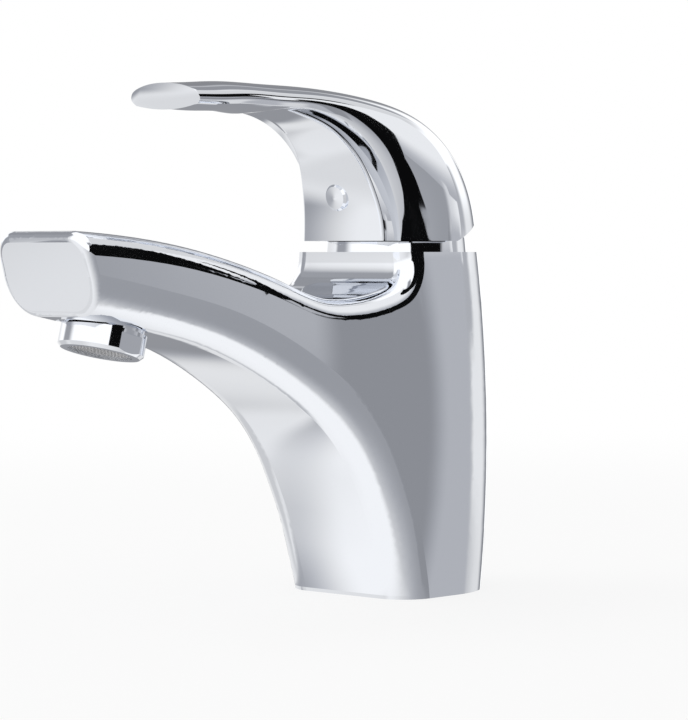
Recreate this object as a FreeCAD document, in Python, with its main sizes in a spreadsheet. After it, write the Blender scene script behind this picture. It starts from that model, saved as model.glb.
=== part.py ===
import FreeCAD, Part
import math
import os
import Sketcher

# Single-lever basin mixer tap.  Millimetres, +Z up, origin on the deck under the
# cartridge axis, spout pointing to -Y.

document = FreeCAD.newDocument("BasinMixer")
sheet = document.addObject("Spreadsheet::Sheet", "Sizes")

DRIVING_SIZES = {
    # body of the tap
    "base_radius": 24.1,
    "waist_height": 44.8,
    "waist_radius": 26.0,
    "crown_rise": 7.0,
    "crown_radius": 22.3,
    "rim_height": 95.8,
    "rim_front": 20.3,
    "tip_width_base": 38.0,
    "tip_width_waist": 35.5,
    "tip_width_crown": 32.6,
    "spout_reach": 136.6,
    "end_face_tilt": 17.5,
    "end_face_rise": 3.6,
    "underside_fillet": 10.0,
    "lip_fillet": 6.2,
    "end_face_fillet": 2.2,
    # base
    "cavity_radius": 17.0,
    "cavity_lip": 6.0,
    "column_wall": 4.1,
    "cavity_depth": 31.0,
    "core_wall": 4.5,
    "gasket_margin": 3.3,
    "gasket_width": 2.6,
    "gasket_depth": 1.8,
    "inlet_spacing": 15.0,
    "inlet_offset": 4.0,
    "inlet_thread_radius": 4.5,
    "inlet_thread_depth": 12.0,
    "waterway_radius": 2.8,
    "stud_radius": 3.4,
    "stud_offset": 8.5,
    "stud_depth": 8.0,
    # cartridge chamber
    "chamber_radius": 17.6,
    "nut_thread_radius": 18.5,
    "shoulder_depth": 7.0,
    "fit_gap": 0.1,
    "slide_gap": 0.05,
    # cartridge
    "housing_wall": 2.2,
    "housing_roof": 2.6,
    "collar_radius": 13.2,
    "collar_wall": 2.4,
    "collar_rise": 11.0,
    "flange_height": 2.4,
    "bottom_plate_height": 8.6,
    "pin_radius": 2.0,
    "pin_length": 3.0,
    "pin_spacing": 24.0,
    "pin_offset": 4.0,
    "outlet_port_offset": 7.0,
    "seat_seal_radius": 4.2,
    "seat_seal_wire": 0.9,
    "disc_seal_wire": 0.7,
    "disc_seal_radius": 3.9,
    "disc_thickness": 4.6,
    "moving_disc_radius": 12.6,
    "disc_port_radius": 2.6,
    "carrier_height": 5.2,
    "carrier_width": 18.0,
    "carrier_length": 18.0,
    "carrier_boss_radius": 5.0,
    "carrier_boss_height": 1.2,
    "mixing_width": 16.0,
    "mixing_length": 9.0,
    "mixing_shift": 1.5,
    "mixing_depth": 2.4,
    "guide_skirt_height": 5.4,
    "guide_flange": 2.3,
    "guide_play": 0.75,
    "guide_proud": 1.6,
    "ring_wire": 0.9,
    "limiter_height": 2.4,
    # stem
    "pivot_rise": 4.0,
    "stem_width": 8.0,
    "stem_rest_angle": 11.0,
    "stem_reach": 28.0,
    "stem_shoulder": 4.0,
    "finger_radius": 2.2,
    "finger_reach": 11.0,
    "ball_radius": 2.5,
    "pivot_pin_radius": 2.0,
    "pivot_pin_length": 19.0,
    "stem_slot_length": 13.6,
    # nut and cap ring
    "nut_proud": 3.6,
    "nut_flats": 31.4,
    "cap_setback": 0.3,
    "cap_taper": 0.4,
    "cap_shoulder_rise": 4.4,
    "cap_shoulder_fillet": 1.0,
    "cap_mouth_gap": 0.7,
    "cap_mouth_rise": 7.2,
    "cap_wall": 1.1,
    # handle
    "handle_gap": 3.1,
    "handle_clearance_angle": 21.7,
    "ring_clearance": 0.9,
    "hub_wall": 1.9,
    "neck_proud": 0.8,
    "hollow_height": 6.5,
    "upper_hollow_inset": 2.9,
    "upper_hollow_height": 9.1,
    "upper_hollow_shift": 1.0,
    "lever_reach": 92.7,
    "lever_rise": 38.6,
    "tip_tilt": 22.0,
    "plug_rise": 12.1,
    "plug_radius": 3.8,
    "plug_seat_depth": 2.4,
    "plug_proud": 1.0,
    "plug_shank_radius": 2.2,
    "plug_shank_length": 2.2,
    "screw_radius": 2.5,
    "screw_length": 8.0,
    "screw_key_radius": 1.25,
    "screw_key_depth": 2.5,
    # aerator, all along its own tilted axis
    "aerator_tilt": 14.5,
    "aerator_setback": 23.0,
    "aerator_sink": 0.3,
    "aerator_bore_radius": 9.7,
    "aerator_bore_depth": 9.0,
    "aerator_boss_radius": 12.6,
    "aerator_radius": 11.2,
    "aerator_length": 7.0,
    "aerator_flats": 21.2,
    "aerator_neck_length": 5.0,
    "aerator_groove": 0.9,
    "aerator_mouth_radius": 8.3,
    "aerator_chamfer": 0.9,
    "aerator_wall": 1.3,
    "mesh_recess": 1.3,
    "mesh_thickness": 0.4,
    "mesh_wire": 0.35,
    "mesh_pitch": 1.15,
    "insert_height": 6.0,
    "seal_thickness": 1.6,
    "strainer_height": 3.0,
    "outlet_way_radius": 3.5,
    "outlet_drop": 13.4,
}

for row, (alias, number) in enumerate(DRIVING_SIZES.items(), start=1):
    sheet.set(f"A{row}", alias)
    sheet.set(f"B{row}", str(number))
    sheet.setAlias(f"B{row}", alias)
document.recompute()


class Size:
    """A length that carries both its number and the sheet expression it comes from."""

    def __init__(self, number, text):
        self.number = float(number)
        self.text = text

    @staticmethod
    def of(other):
        return other if isinstance(other, Size) else Size(other, repr(float(other)))

    def joined(self, sign, other, number):
        return Size(number, f"({self.text} {sign} {other.text})")

    def __add__(self, other):
        other = Size.of(other)
        return self.joined("+", other, self.number + other.number)

    def __sub__(self, other):
        other = Size.of(other)
        return self.joined("-", other, self.number - other.number)

    def __mul__(self, other):
        other = Size.of(other)
        return self.joined("*", other, self.number * other.number)

    def __truediv__(self, other):
        other = Size.of(other)
        return self.joined("/", other, self.number / other.number)

    def __neg__(self):
        return Size(-self.number, f"(-1 * {self.text})")

    __radd__ = __add__
    __rmul__ = __mul__

    def __rsub__(self, other):
        return Size.of(other) - self


class Sizes:
    """Reads any alias of the sheet as a Size."""

    def __getattr__(self, alias):
        return Size(sheet.get(alias), f"Sizes.{alias}")


dim = Sizes()

# Sizes that follow from the others. The cartridge is stacked down from the rim, the cap
# ring stands on the rim, and the handle goes over the cap ring.
shoulder_height = dim.rim_height - dim.shoulder_depth
pivot_height = shoulder_height + dim.pivot_rise
collar_height = shoulder_height + dim.collar_rise
guide_top = collar_height + dim.guide_proud
stack_height = (
    dim.bottom_plate_height + dim.disc_thickness * 2 + dim.slide_gap
    + dim.carrier_height + dim.carrier_boss_height + dim.guide_play
    + dim.guide_flange + dim.fit_gap + dim.housing_roof
)
seat_height = shoulder_height - stack_height
nut_top = dim.rim_height + dim.nut_proud
cap_foot_radius = dim.rim_front - dim.cap_setback
cap_shoulder_radius = cap_foot_radius - dim.cap_taper
cap_shoulder_height = dim.rim_height + dim.cap_shoulder_rise
cap_mouth_radius = dim.collar_radius + dim.cap_mouth_gap
cap_mouth_height = dim.rim_height + dim.cap_mouth_rise
hollow_radius = cap_foot_radius + dim.ring_clearance
upper_hollow_radius = hollow_radius - dim.upper_hollow_inset
handle_hub_radius = hollow_radius + dim.hub_wall
neck_front = handle_hub_radius + dim.neck_proud
handle_bottom = dim.rim_height + dim.handle_gap
plug_height = handle_bottom + dim.plug_rise
tip_height = handle_bottom + dim.lever_rise
crown_height = dim.rim_height + dim.crown_rise
end_face_height = dim.rim_height + dim.end_face_rise
column_core_radius = dim.base_radius - dim.column_wall
gasket_groove_radius = dim.base_radius - dim.gasket_margin
outlet_way_start = seat_height - dim.outlet_drop
aerator_seat_y = dim.spout_reach - dim.aerator_setback


def tangent(angle):
    """Tangent of a sheet angle in degrees."""
    return Size(math.tan(math.radians(angle.number)), f"tan({angle.text} * 1deg)")


def bind(target, prop, size):
    """Ties one property to the sheet."""
    size = Size.of(size)
    target.setExpression(prop, size.text)


def new_body(label):
    body = document.addObject("PartDesign::Body", label)
    body.Label = label
    return body


def origin_plane(body, role):
    for feature in body.Origin.OriginFeatures:
        if feature.Role == role:
            return feature
    raise ValueError(f"{body.Label} has no {role}")


def new_sketch(body, name, role, shift=(0, 0, 0), tilt=0.0):
    """A sketch on one of the body's own planes, moved or tilted about its own x."""
    sketch = body.newObject("Sketcher::SketchObject", name)
    sketch.AttachmentSupport = [(origin_plane(body, role), "")]
    sketch.MapMode = "FlatFace"
    base = FreeCAD.Vector(*[Size.of(part).number for part in shift])
    turn = FreeCAD.Rotation(FreeCAD.Vector(1, 0, 0), Size.of(tilt).number)
    sketch.AttachmentOffset = FreeCAD.Placement(base, turn)
    for axis, part in zip("xyz", shift):
        if isinstance(part, Size):
            bind(sketch, f"AttachmentOffset.Base.{axis}", part)
    return sketch


def pin_point(sketch, curve, end, point):
    """Holds one end of a curve at a point given by two sizes."""
    for kind, axis, part in zip(("DistanceX", "DistanceY"), (-2, -1), point):
        part = Size.of(part)
        if abs(part.number) < 1e-9:
            sketch.addConstraint(Sketcher.Constraint("PointOnObject", curve, end, axis))
            continue
        index = sketch.addConstraint(
            Sketcher.Constraint(kind, -1, 1, curve, end, part.number)
        )
        bind(sketch, f"Constraints[{index}]", part)


def vector(point):
    return FreeCAD.Vector(Size.of(point[0]).number, Size.of(point[1]).number, 0)


def add_polygon(sketch, points):
    """A closed outline of straight lines, each corner held by the sheet."""
    first = sketch.GeometryCount
    for start, stop in zip(points, points[1:] + points[:1]):
        sketch.addGeometry(Part.LineSegment(vector(start), vector(stop)), False)
    count = len(points)
    for index, point in enumerate(points):
        before = first + (index - 1) % count
        sketch.addConstraint(
            Sketcher.Constraint("Coincident", before, 2, first + index, 1)
        )
        pin_point(sketch, first + index, 1, point)


def rectangle(left, right, low, high):
    return [(left, low), (right, low), (right, high), (left, high)]


def add_circle(sketch, radius, centre=(0, 0)):
    """A circle whose radius and centre are held by the sheet."""
    radius = Size.of(radius)
    axis = FreeCAD.Vector(0, 0, 1)
    index = sketch.addGeometry(Part.Circle(vector(centre), axis, radius.number), False)
    held = sketch.addConstraint(Sketcher.Constraint("Radius", index, radius.number))
    bind(sketch, f"Constraints[{held}]", radius)
    pin_point(sketch, index, 3, centre)


def add_spline(sketch, points):
    """A smooth open curve through points."""
    curve = Part.BSplineCurve()
    curve.interpolate([vector(point) for point in points])
    return sketch.addGeometry(curve, False)


def spline_outline(sketch, curve_points, corners):
    """A closed outline: one smooth curve closed by straight lines over the corners."""
    add_spline(sketch, curve_points)
    path = [curve_points[-1]] + list(corners) + [curve_points[0]]
    for start, stop in zip(path, path[1:]):
        sketch.addGeometry(Part.LineSegment(vector(start), vector(stop)), False)


def pad(body, sketch, length, middle=False):
    feature = body.newObject("PartDesign::Pad", f"{sketch.Name}_Pad")
    feature.Profile = sketch
    feature.SideType = "Symmetric" if middle else "One side"
    bind(feature, "Length", length)
    document.recompute()
    return feature


def pocket(body, sketch, length, middle=False, backwards=False):
    """A pocket that is checked to take material away."""
    before = body.Shape.Volume
    feature = body.newObject("PartDesign::Pocket", f"{sketch.Name}_Pocket")
    feature.Profile = sketch
    feature.SideType = "Symmetric" if middle else "One side"
    feature.Reversed = backwards
    bind(feature, "Length", length)
    document.recompute()
    if body.Shape.Volume > before - 1e-6:
        raise ValueError(f"{feature.Name} cuts nothing")
    return feature


def revolve(body, name, points, cut=False):
    """Turns an outline of (radius, height) corners about the body's Z axis."""
    sketch = new_sketch(body, f"{name}_Profile", "XZ_Plane")
    add_polygon(sketch, points)
    kind = "PartDesign::Groove" if cut else "PartDesign::Revolution"
    feature = body.newObject(kind, name)
    feature.Profile = sketch
    feature.ReferenceAxis = (sketch, ["V_Axis"])
    feature.Angle = 360
    document.recompute()
    return feature


def drill(body, name, radius, bottom, top, centre=(0, 0)):
    """A round vertical hole between two heights."""
    sketch = new_sketch(body, f"{name}_Circle", "XY_Plane", (0, 0, top))
    add_circle(sketch, radius, centre)
    return pocket(body, sketch, top - bottom)


def disc(body, name, radius, bottom, top, centre=(0, 0)):
    """A round vertical boss between two heights."""
    sketch = new_sketch(body, f"{name}_Circle", "XY_Plane", (0, 0, bottom))
    add_circle(sketch, radius, centre)
    return pad(body, sketch, top - bottom)


def round_edges(body, name, radius, wanted):
    """Fillets every edge of the body that the test picks."""
    document.recompute()
    base = body.Tip
    names = [f"Edge{i}" for i, edge in enumerate(base.Shape.Edges, 1) if wanted(edge)]
    if not names:
        raise ValueError(f"{name} finds no edge")
    feature = body.newObject("PartDesign::Fillet", name)
    feature.Base = (base, names)
    bind(feature, "Radius", radius)
    document.recompute()
    return feature


def turned(body, base, angle):
    """Places a body at a point, turned about X."""
    axis = FreeCAD.Vector(1, 0, 0)
    spot = FreeCAD.Vector(*[Size.of(part).number for part in base])
    body.Placement = FreeCAD.Placement(spot, FreeCAD.Rotation(axis, angle))
    for letter, part in zip("xyz", base):
        if isinstance(part, Size):
            bind(body, f"Placement.Base.{letter}", part)


def torus_group(label, major, wire, height, centres):
    """Rubber rings that share one node."""
    rings = []
    for x, y in centres:
        ring = Part.makeTorus(Size.of(major).number, Size.of(wire).number)
        spot = [Size.of(part).number for part in (x, y, height)]
        ring.translate(FreeCAD.Vector(*spot))
        rings.append(ring)
    feature = document.addObject("Part::Feature", label)
    feature.Label = label
    feature.Shape = Part.makeCompound(rings)
    return feature


WIDE = 120.0


def on_axis(base, angle, distance):
    """A point some way along an axis leaned forward by an angle from vertical."""
    lean = math.radians(angle.number)
    return (
        base[0],
        Size.of(base[1]).number - distance * math.sin(lean),
        Size.of(base[2]).number + distance * math.cos(lean),
    )


inlet_x = dim.inlet_spacing / 2
inlet_spots = [(-inlet_x, -dim.inlet_offset), (inlet_x, -dim.inlet_offset)]
outlet_spot = (0, dim.outlet_port_offset)


# The tap body.
def body_spot(y, z):
    """Stretches a point of the body's outlines to the sizes in the sheet.

    They are drawn with the rim's front 20.3 from the axis, the spout reaching 116.3
    beyond it, and the rim 95.8 high.
    """
    front = dim.rim_front.number
    beyond = -y - 20.3
    if beyond > 0:
        out = front + beyond * (dim.spout_reach.number - front) / 116.3
    else:
        out = -y * front / 20.3
    return (-out, z * dim.rim_height.number / 95.8)


UNDERSIDE = [
    (-22.2, -5.2),
    (-22.6, -1.2),
    (-24.9, 8.8),
    (-27.9, 18.8),
    (-32.4, 28.8),
    (-38.2, 38.8),
    (-47.2, 48.8),
    (-61.0, 58.2),
    (-77.0, 66.2),
    (-91.0, 71.2),
    (-105.0, 74.6),
    (-128.0, 79.2),
    (-150.0, 82.8),
]
TOP_LINE = [
    (-20.3, 102.8),
    (-20.3, 95.8),
    (-20.7, 90.3),
    (-22.8, 87.5),
    (-27.0, 85.5),
    (-34.5, 83.8),
    (-42.0, 83.1),
    (-50.0, 83.5),
    (-58.0, 85.6),
    (-66.0, 88.5),
    (-77.0, 92.0),
    (-89.0, 95.1),
    (-102.0, 97.7),
    (-115.0, 99.5),
    (-130.0, 100.8),
    (-150.0, 101.6),
]
underside = [body_spot(y, z) for y, z in UNDERSIDE]
top_line = [body_spot(y, z) for y, z in TOP_LINE]
stock_reach = -underside[-1][0] - 1.0


def height_on(outline, y):
    """Height of an outline that rises outward along the spout, at one distance."""
    curve = Part.BSplineCurve()
    curve.interpolate([vector(point) for point in outline])
    low, high = curve.FirstParameter, curve.LastParameter
    for _ in range(60):
        middle = (low + high) / 2
        if curve.value(middle).x > y:
            low = middle
        else:
            high = middle
    return curve.value(low).y


aerator_seat_z = Size.of(height_on(underside, -aerator_seat_y.number)) + dim.aerator_sink


def body_plan(body, name, height, radius, tip_width):
    """Plan of the body at one height: a round back and sides that taper to the tip."""
    sketch = new_sketch(body, name, "XY_Plane", (0, 0, height))
    reach = stock_reach
    back = radius.number
    half_tip = tip_width.number / 2
    lean = math.atan2(back - half_tip, reach)
    side_x = back * math.cos(lean)
    side_y = -back * math.sin(lean)
    arc = Part.Arc(
        FreeCAD.Vector(side_x, side_y, 0),
        FreeCAD.Vector(0, back, 0),
        FreeCAD.Vector(-side_x, side_y, 0),
    )
    sketch.addGeometry(arc, False)
    far = -reach
    corners = [(-side_x, side_y), (-half_tip, far), (half_tip, far), (side_x, side_y)]
    for start, stop in zip(corners, corners[1:]):
        sketch.addGeometry(Part.LineSegment(vector(start), vector(stop)), False)
    return sketch


def make_tap_body():
    body = new_body("tap_body")
    plans = [
        body_plan(body, "PlanBase", Size.of(0), dim.base_radius, dim.tip_width_base),
        body_plan(body, "PlanWaist", dim.waist_height, dim.waist_radius, dim.tip_width_waist),
        body_plan(body, "PlanCrown", crown_height, dim.crown_radius, dim.tip_width_crown),
    ]
    loft = body.newObject("PartDesign::AdditiveLoft", "Block")
    loft.Profile = plans[0]
    loft.Sections = plans[1:]
    document.recompute()

    under = new_sketch(body, "Underside", "YZ_Plane")
    spline_outline(under, underside, [(underside[-1][0], underside[0][1])])
    pocket(body, under, WIDE, middle=True)

    top = new_sketch(body, "TopLine", "YZ_Plane")
    above = (crown_height + 12.0).number
    spline_outline(top, top_line, [(top_line[-1][0], above), (top_line[0][0], above)])
    pocket(body, top, WIDE, middle=True)

    rim = new_sketch(body, "RimCut", "YZ_Plane")
    add_polygon(rim, [
        (-dim.rim_front - 2.0, dim.rim_height),
        (dim.waist_radius + 4.0, dim.rim_height),
        (dim.waist_radius + 4.0, crown_height + 4.0),
        (-dim.rim_front - 2.0, crown_height + 4.0),
    ])
    pocket(body, rim, WIDE, middle=True)

    slope = tangent(dim.end_face_tilt)
    drop = end_face_height * 0.6
    end = new_sketch(body, "EndFace", "YZ_Plane")
    add_polygon(end, [
        (-dim.spout_reach - slope * dim.rim_front, end_face_height + dim.rim_front),
        (-dim.spout_reach + slope * drop, end_face_height - drop),
        (-dim.spout_reach - drop, end_face_height - drop),
        (-dim.spout_reach - drop, end_face_height + dim.rim_front),
    ])
    pocket(body, end, WIDE, middle=True)
    return body


def edge_mid(edge):
    return edge.valueAt((edge.FirstParameter + edge.LastParameter) / 2)


def is_underside_edge(edge):
    """Long edges where the sides meet the front of the column and the underside."""
    box = edge.BoundBox
    return box.XMax * box.XMin > 0 and box.ZMin < 1.0 and box.YLength > 60


def is_lip_edge(edge):
    """Long edges where the sides meet the spout top and the scoop."""
    box = edge.BoundBox
    return box.XMax * box.XMin > 0 and box.ZMax > 96.0 and box.YLength > 60


def is_end_face_edge(edge):
    """Edges around the flat end of the spout."""
    slope = math.tan(math.radians(dim.end_face_tilt.number))
    for vertex in edge.Vertexes:
        face_y = -dim.spout_reach.number + slope * (end_face_height.number - vertex.Z)
        if abs(vertex.Y - face_y) > 0.05:
            return False
    return True


# Heights of the outside, one wall away from the core, and the core's half width, at
# several distances out along the spout.
SPOUT_CORE = [
    (-23.5, 26.0, 82.0, 15.5),
    (-40.0, 41.2, 83.1, 17.0),
    (-60.0, 57.8, 86.3, 16.0),
    (-80.0, 67.3, 92.8, 14.0),
    (-100.0, 73.4, 97.3, 12.5),
    (-116.0, 77.4, 99.3, 11.5),
]


def cut_spout_core(body):
    """The cored way through the spout."""
    sketches = []
    widening = body_spot(-20.3, 0.0)[0] / -20.3
    for index, (y, low, high, half) in enumerate(SPOUT_CORE):
        out, low = body_spot(y, low)
        high = body_spot(y, high)[1]
        sketch = new_sketch(body, f"Core{index}", "XZ_Plane", (0, 0, -out))
        bottom = Size.of(low) + dim.core_wall
        top = Size.of(high) - dim.core_wall
        half = Size.of(half * widening)
        add_polygon(sketch, rectangle(-half, half, bottom, top))
        sketches.append(sketch)
    core = body.newObject("PartDesign::SubtractiveLoft", "SpoutCore")
    core.Ruled = True
    core.Profile = sketches[0]
    core.Sections = sketches[1:]
    document.recompute()


def cut_waterways(body):
    """Everything hollow inside the casting."""
    rim = dim.rim_height
    drill(body, "Chamber", dim.chamber_radius, seat_height, rim)
    drill(body, "NutThread", dim.nut_thread_radius, shoulder_height - 0.5, rim)
    drill(body, "BaseCavity", dim.cavity_radius, Size.of(0), dim.cavity_depth)
    drill(body, "ColumnCore", column_core_radius, dim.cavity_lip, dim.cavity_depth)
    cut_spout_core(body)
    outer = gasket_groove_radius
    revolve(body, "GasketGroove", [
        (outer - dim.gasket_width, 0),
        (outer, 0),
        (outer, dim.gasket_depth),
        (outer - dim.gasket_width, dim.gasket_depth),
    ], cut=True)
    for index, spot in enumerate(inlet_spots):
        thread_top = dim.cavity_depth + dim.inlet_thread_depth
        drill(body, f"InletThread{index}", dim.inlet_thread_radius, dim.cavity_depth, thread_top, spot)
        drill(body, f"Waterway{index}", dim.waterway_radius, thread_top, seat_height, spot)
    stud_top = dim.cavity_depth + dim.stud_depth
    drill(body, "Stud", dim.stud_radius, dim.cavity_depth, stud_top, (0, dim.stud_offset))
    for index, spot in enumerate(pin_spots):
        pin_floor = seat_height - dim.pin_length - dim.fit_gap
        radius = dim.pin_radius + dim.fit_gap
        drill(body, f"PinHole{index}", radius, pin_floor, seat_height, spot)
    way = dim.outlet_way_radius
    drill(body, "OutletDrop", way, outlet_way_start, seat_height, outlet_spot)

    tilt = math.radians(dim.aerator_tilt.number)
    depth = dim.aerator_bore_depth.number
    end_y = -aerator_seat_y.number + depth * math.sin(tilt)
    end_z = aerator_seat_z.number + depth * math.cos(tilt)
    rise = end_z - outlet_way_start.number
    run = dim.outlet_port_offset.number - end_y
    climb = math.degrees(math.atan2(rise, run))
    start = (0, outlet_way_start, -dim.outlet_port_offset)
    sketch = new_sketch(body, "OutletWay", "XZ_Plane", start, -climb)
    add_circle(sketch, way)
    pocket(body, sketch, Size.of(math.hypot(rise, run)), backwards=True)

    seat = (0, -aerator_seat_y, aerator_seat_z)
    bore = new_sketch(body, "AeratorBore", "XY_Plane", seat, -dim.aerator_tilt.number)
    add_circle(bore, dim.aerator_bore_radius)
    pocket(body, bore, dim.aerator_bore_depth, backwards=True)
    face = new_sketch(body, "AeratorFace", "XY_Plane", seat, -dim.aerator_tilt.number)
    add_circle(face, dim.aerator_boss_radius)
    pocket(body, face, dim.aerator_length)


pin_x = dim.pin_spacing / 2
pin_spots = [(-pin_x, dim.pin_offset), (pin_x, dim.pin_offset)]

tap_body = make_tap_body()
round_edges(tap_body, "UndersideFillet", dim.underside_fillet, is_underside_edge)
round_edges(tap_body, "LipFillet", dim.lip_fillet, is_lip_edge)
round_edges(tap_body, "EndFillet", dim.end_face_fillet, is_end_face_edge)
cut_waterways(tap_body)

base_gasket = new_body("base_gasket")
gasket_outer = gasket_groove_radius - dim.fit_gap
gasket_inner = gasket_groove_radius - dim.gasket_width + dim.fit_gap
revolve(base_gasket, "GasketRing", [
    (gasket_inner, 0),
    (gasket_outer, 0),
    (gasket_outer, dim.gasket_depth),
    (gasket_inner, dim.gasket_depth),
])

# The cartridge.
housing_radius = dim.chamber_radius - dim.fit_gap * 2
housing_bore = housing_radius - dim.housing_wall
plug_radius = housing_bore - dim.fit_gap * 2
plate_bottom = seat_height
plate_top = plate_bottom + dim.bottom_plate_height
flange_top = plate_bottom + dim.flange_height
collar_bore = dim.collar_radius - dim.collar_wall
roof_bottom = shoulder_height - dim.housing_roof

cartridge_base = new_body("cartridge_base")
revolve(cartridge_base, "Plate", [
    (0, plate_bottom),
    (housing_radius, plate_bottom),
    (housing_radius, flange_top),
    (plug_radius, flange_top),
    (plug_radius, plate_top),
    (0, plate_top),
])
for index, spot in enumerate(pin_spots):
    pin_bottom = plate_bottom - dim.pin_length
    disc(cartridge_base, f"Pin{index}", dim.pin_radius, pin_bottom, plate_bottom + 0.5, spot)


def cut_seal_grooves(body, name, major, wire, bottom, top):
    """Square ring grooves around the three ports."""
    for index, spot in enumerate(inlet_spots + [outlet_spot]):
        sketch = new_sketch(body, f"{name}{index}", "XY_Plane", (0, 0, top))
        add_circle(sketch, major + wire, spot)
        add_circle(sketch, major - wire, spot)
        pocket(body, sketch, top - bottom)


seat_groove_top = plate_bottom + dim.seat_seal_wire * 2
cut_seal_grooves(cartridge_base, "SeatGroove", dim.seat_seal_radius,
                 dim.seat_seal_wire, plate_bottom, seat_groove_top)
cut_seal_grooves(cartridge_base, "DiscGroove", dim.disc_seal_radius,
                 dim.disc_seal_wire, plate_top - dim.disc_seal_wire * 2, plate_top)
for index, spot in enumerate(inlet_spots + [outlet_spot]):
    drill(cartridge_base, f"Port{index}", dim.waterway_radius, plate_bottom, plate_top, spot)

port_spots = inlet_spots + [outlet_spot]
seat_seals = torus_group("seat_seals", dim.seat_seal_radius, dim.seat_seal_wire,
                         plate_bottom + dim.seat_seal_wire, port_spots)
disc_seals = torus_group("disc_seals", dim.disc_seal_radius, dim.disc_seal_wire,
                         plate_top - dim.disc_seal_wire, port_spots)

cartridge_housing = new_body("cartridge_housing")
revolve(cartridge_housing, "Cup", [
    (housing_bore, flange_top),
    (housing_radius, flange_top),
    (housing_radius, shoulder_height),
    (dim.collar_radius, shoulder_height),
    (dim.collar_radius, collar_height),
    (collar_bore, collar_height),
    (collar_bore, roof_bottom),
    (housing_bore, roof_bottom),
])

fixed_top = plate_top + dim.disc_thickness
ceramic_disc_fixed = new_body("ceramic_disc_fixed")
disc(ceramic_disc_fixed, "Disc", plug_radius, plate_top, fixed_top)
for index, spot in enumerate(port_spots):
    drill(ceramic_disc_fixed, f"Port{index}", dim.disc_port_radius, plate_top, fixed_top, spot)

rest_angle = dim.stem_rest_angle
finger_shift = Size(
    dim.finger_reach.number * math.sin(math.radians(rest_angle.number)),
    f"({dim.finger_reach.text} * sin({rest_angle.text} * 1deg))",
)
moving_bottom = fixed_top + dim.slide_gap
moving_top = moving_bottom + dim.disc_thickness


ceramic_disc_moving = new_body("ceramic_disc_moving")
disc(ceramic_disc_moving, "Disc", dim.moving_disc_radius, moving_bottom, moving_top, (0, finger_shift))
mixing_top = moving_bottom + dim.mixing_depth
mixing = new_sketch(ceramic_disc_moving, "Mixing", "XY_Plane", (0, 0, mixing_top))
half_mix = dim.mixing_length / 2
mixing_centre = finger_shift + dim.mixing_shift
add_polygon(mixing, rectangle(
    -dim.mixing_width / 2, dim.mixing_width / 2, mixing_centre - half_mix, mixing_centre + half_mix,
))
pocket(ceramic_disc_moving, mixing, dim.mixing_depth)

carrier_top = moving_top + dim.carrier_height
boss_top = carrier_top + dim.carrier_boss_height
disc_carrier = new_body("disc_carrier")
block = new_sketch(disc_carrier, "Block", "XY_Plane", (0, 0, moving_top))
half_width = dim.carrier_width / 2
half_length = dim.carrier_length / 2
add_polygon(block, rectangle(
    -half_width, half_width, finger_shift - half_length, finger_shift + half_length,
))
pad(disc_carrier, block, dim.carrier_height)
disc(disc_carrier, "Boss", dim.carrier_boss_radius, carrier_top, boss_top, (0, finger_shift))
ball_low = pivot_height - dim.finger_reach - dim.ball_radius
ball_hole = dim.ball_radius + dim.fit_gap
drill(disc_carrier, "BallHole", ball_hole, ball_low - 0.6, boss_top, (0, finger_shift))

guide_radius = housing_bore - dim.fit_gap * 2
neck_radius = collar_bore - dim.fit_gap
guide_top_of_flange = roof_bottom - dim.fit_gap
guide_flange_bottom = guide_top_of_flange - dim.guide_flange
skirt_bottom = guide_flange_bottom - dim.guide_skirt_height
ring_height = (pivot_height + collar_height) / 2 + 1.0
stem_guide = new_body("stem_guide")
revolve(stem_guide, "Rotor", [
    (0, skirt_bottom),
    (guide_radius, skirt_bottom),
    (guide_radius, guide_top_of_flange),
    (neck_radius, guide_top_of_flange),
    (neck_radius, guide_top),
    (0, guide_top),
])
track = new_sketch(stem_guide, "Track", "XY_Plane", (0, 0, guide_flange_bottom))
track_half = half_width + dim.fit_gap
add_polygon(track, rectangle(-track_half, track_half, -dim.chamber_radius, dim.chamber_radius))
pocket(stem_guide, track, dim.guide_skirt_height)
slot = new_sketch(stem_guide, "StemSlot", "XY_Plane", (0, 0, guide_top))
slot_half = dim.stem_width / 2 + dim.fit_gap
slot_reach = dim.stem_slot_length / 2
add_polygon(slot, rectangle(-slot_half, slot_half, -slot_reach, slot_reach))
pocket(stem_guide, slot, guide_top - guide_flange_bottom)
wire = dim.ring_wire
groove_depth = neck_radius - wire * 2
revolve(stem_guide, "RingGroove", [
    (groove_depth, ring_height - wire),
    (neck_radius + 1.0, ring_height - wire),
    (neck_radius + 1.0, ring_height + wire),
    (groove_depth, ring_height + wire),
], cut=True)
guide_pin_hole = new_sketch(stem_guide, "PinHole", "YZ_Plane")
add_circle(guide_pin_hole, dim.pivot_pin_radius + dim.slide_gap, (0, pivot_height))
pocket(stem_guide, guide_pin_hole, dim.pivot_pin_length, middle=True)

guide_ring = torus_group("guide_ring", neck_radius - wire, wire - dim.slide_gap, ring_height, [(0, 0)])

pivot_pin = new_body("pivot_pin")
pin = new_sketch(pivot_pin, "Pin", "YZ_Plane")
add_circle(pin, dim.pivot_pin_radius, (0, pivot_height))
pad(pivot_pin, pin, dim.pivot_pin_length, middle=True)

limiter_top = collar_height + dim.limiter_height
limiter_bore = collar_bore + dim.fit_gap
limiter_ring = new_body("limiter_ring")
revolve(limiter_ring, "Ring", [
    (limiter_bore, collar_height),
    (dim.collar_radius, collar_height),
    (dim.collar_radius, limiter_top),
    (limiter_bore, limiter_top),
])

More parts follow.
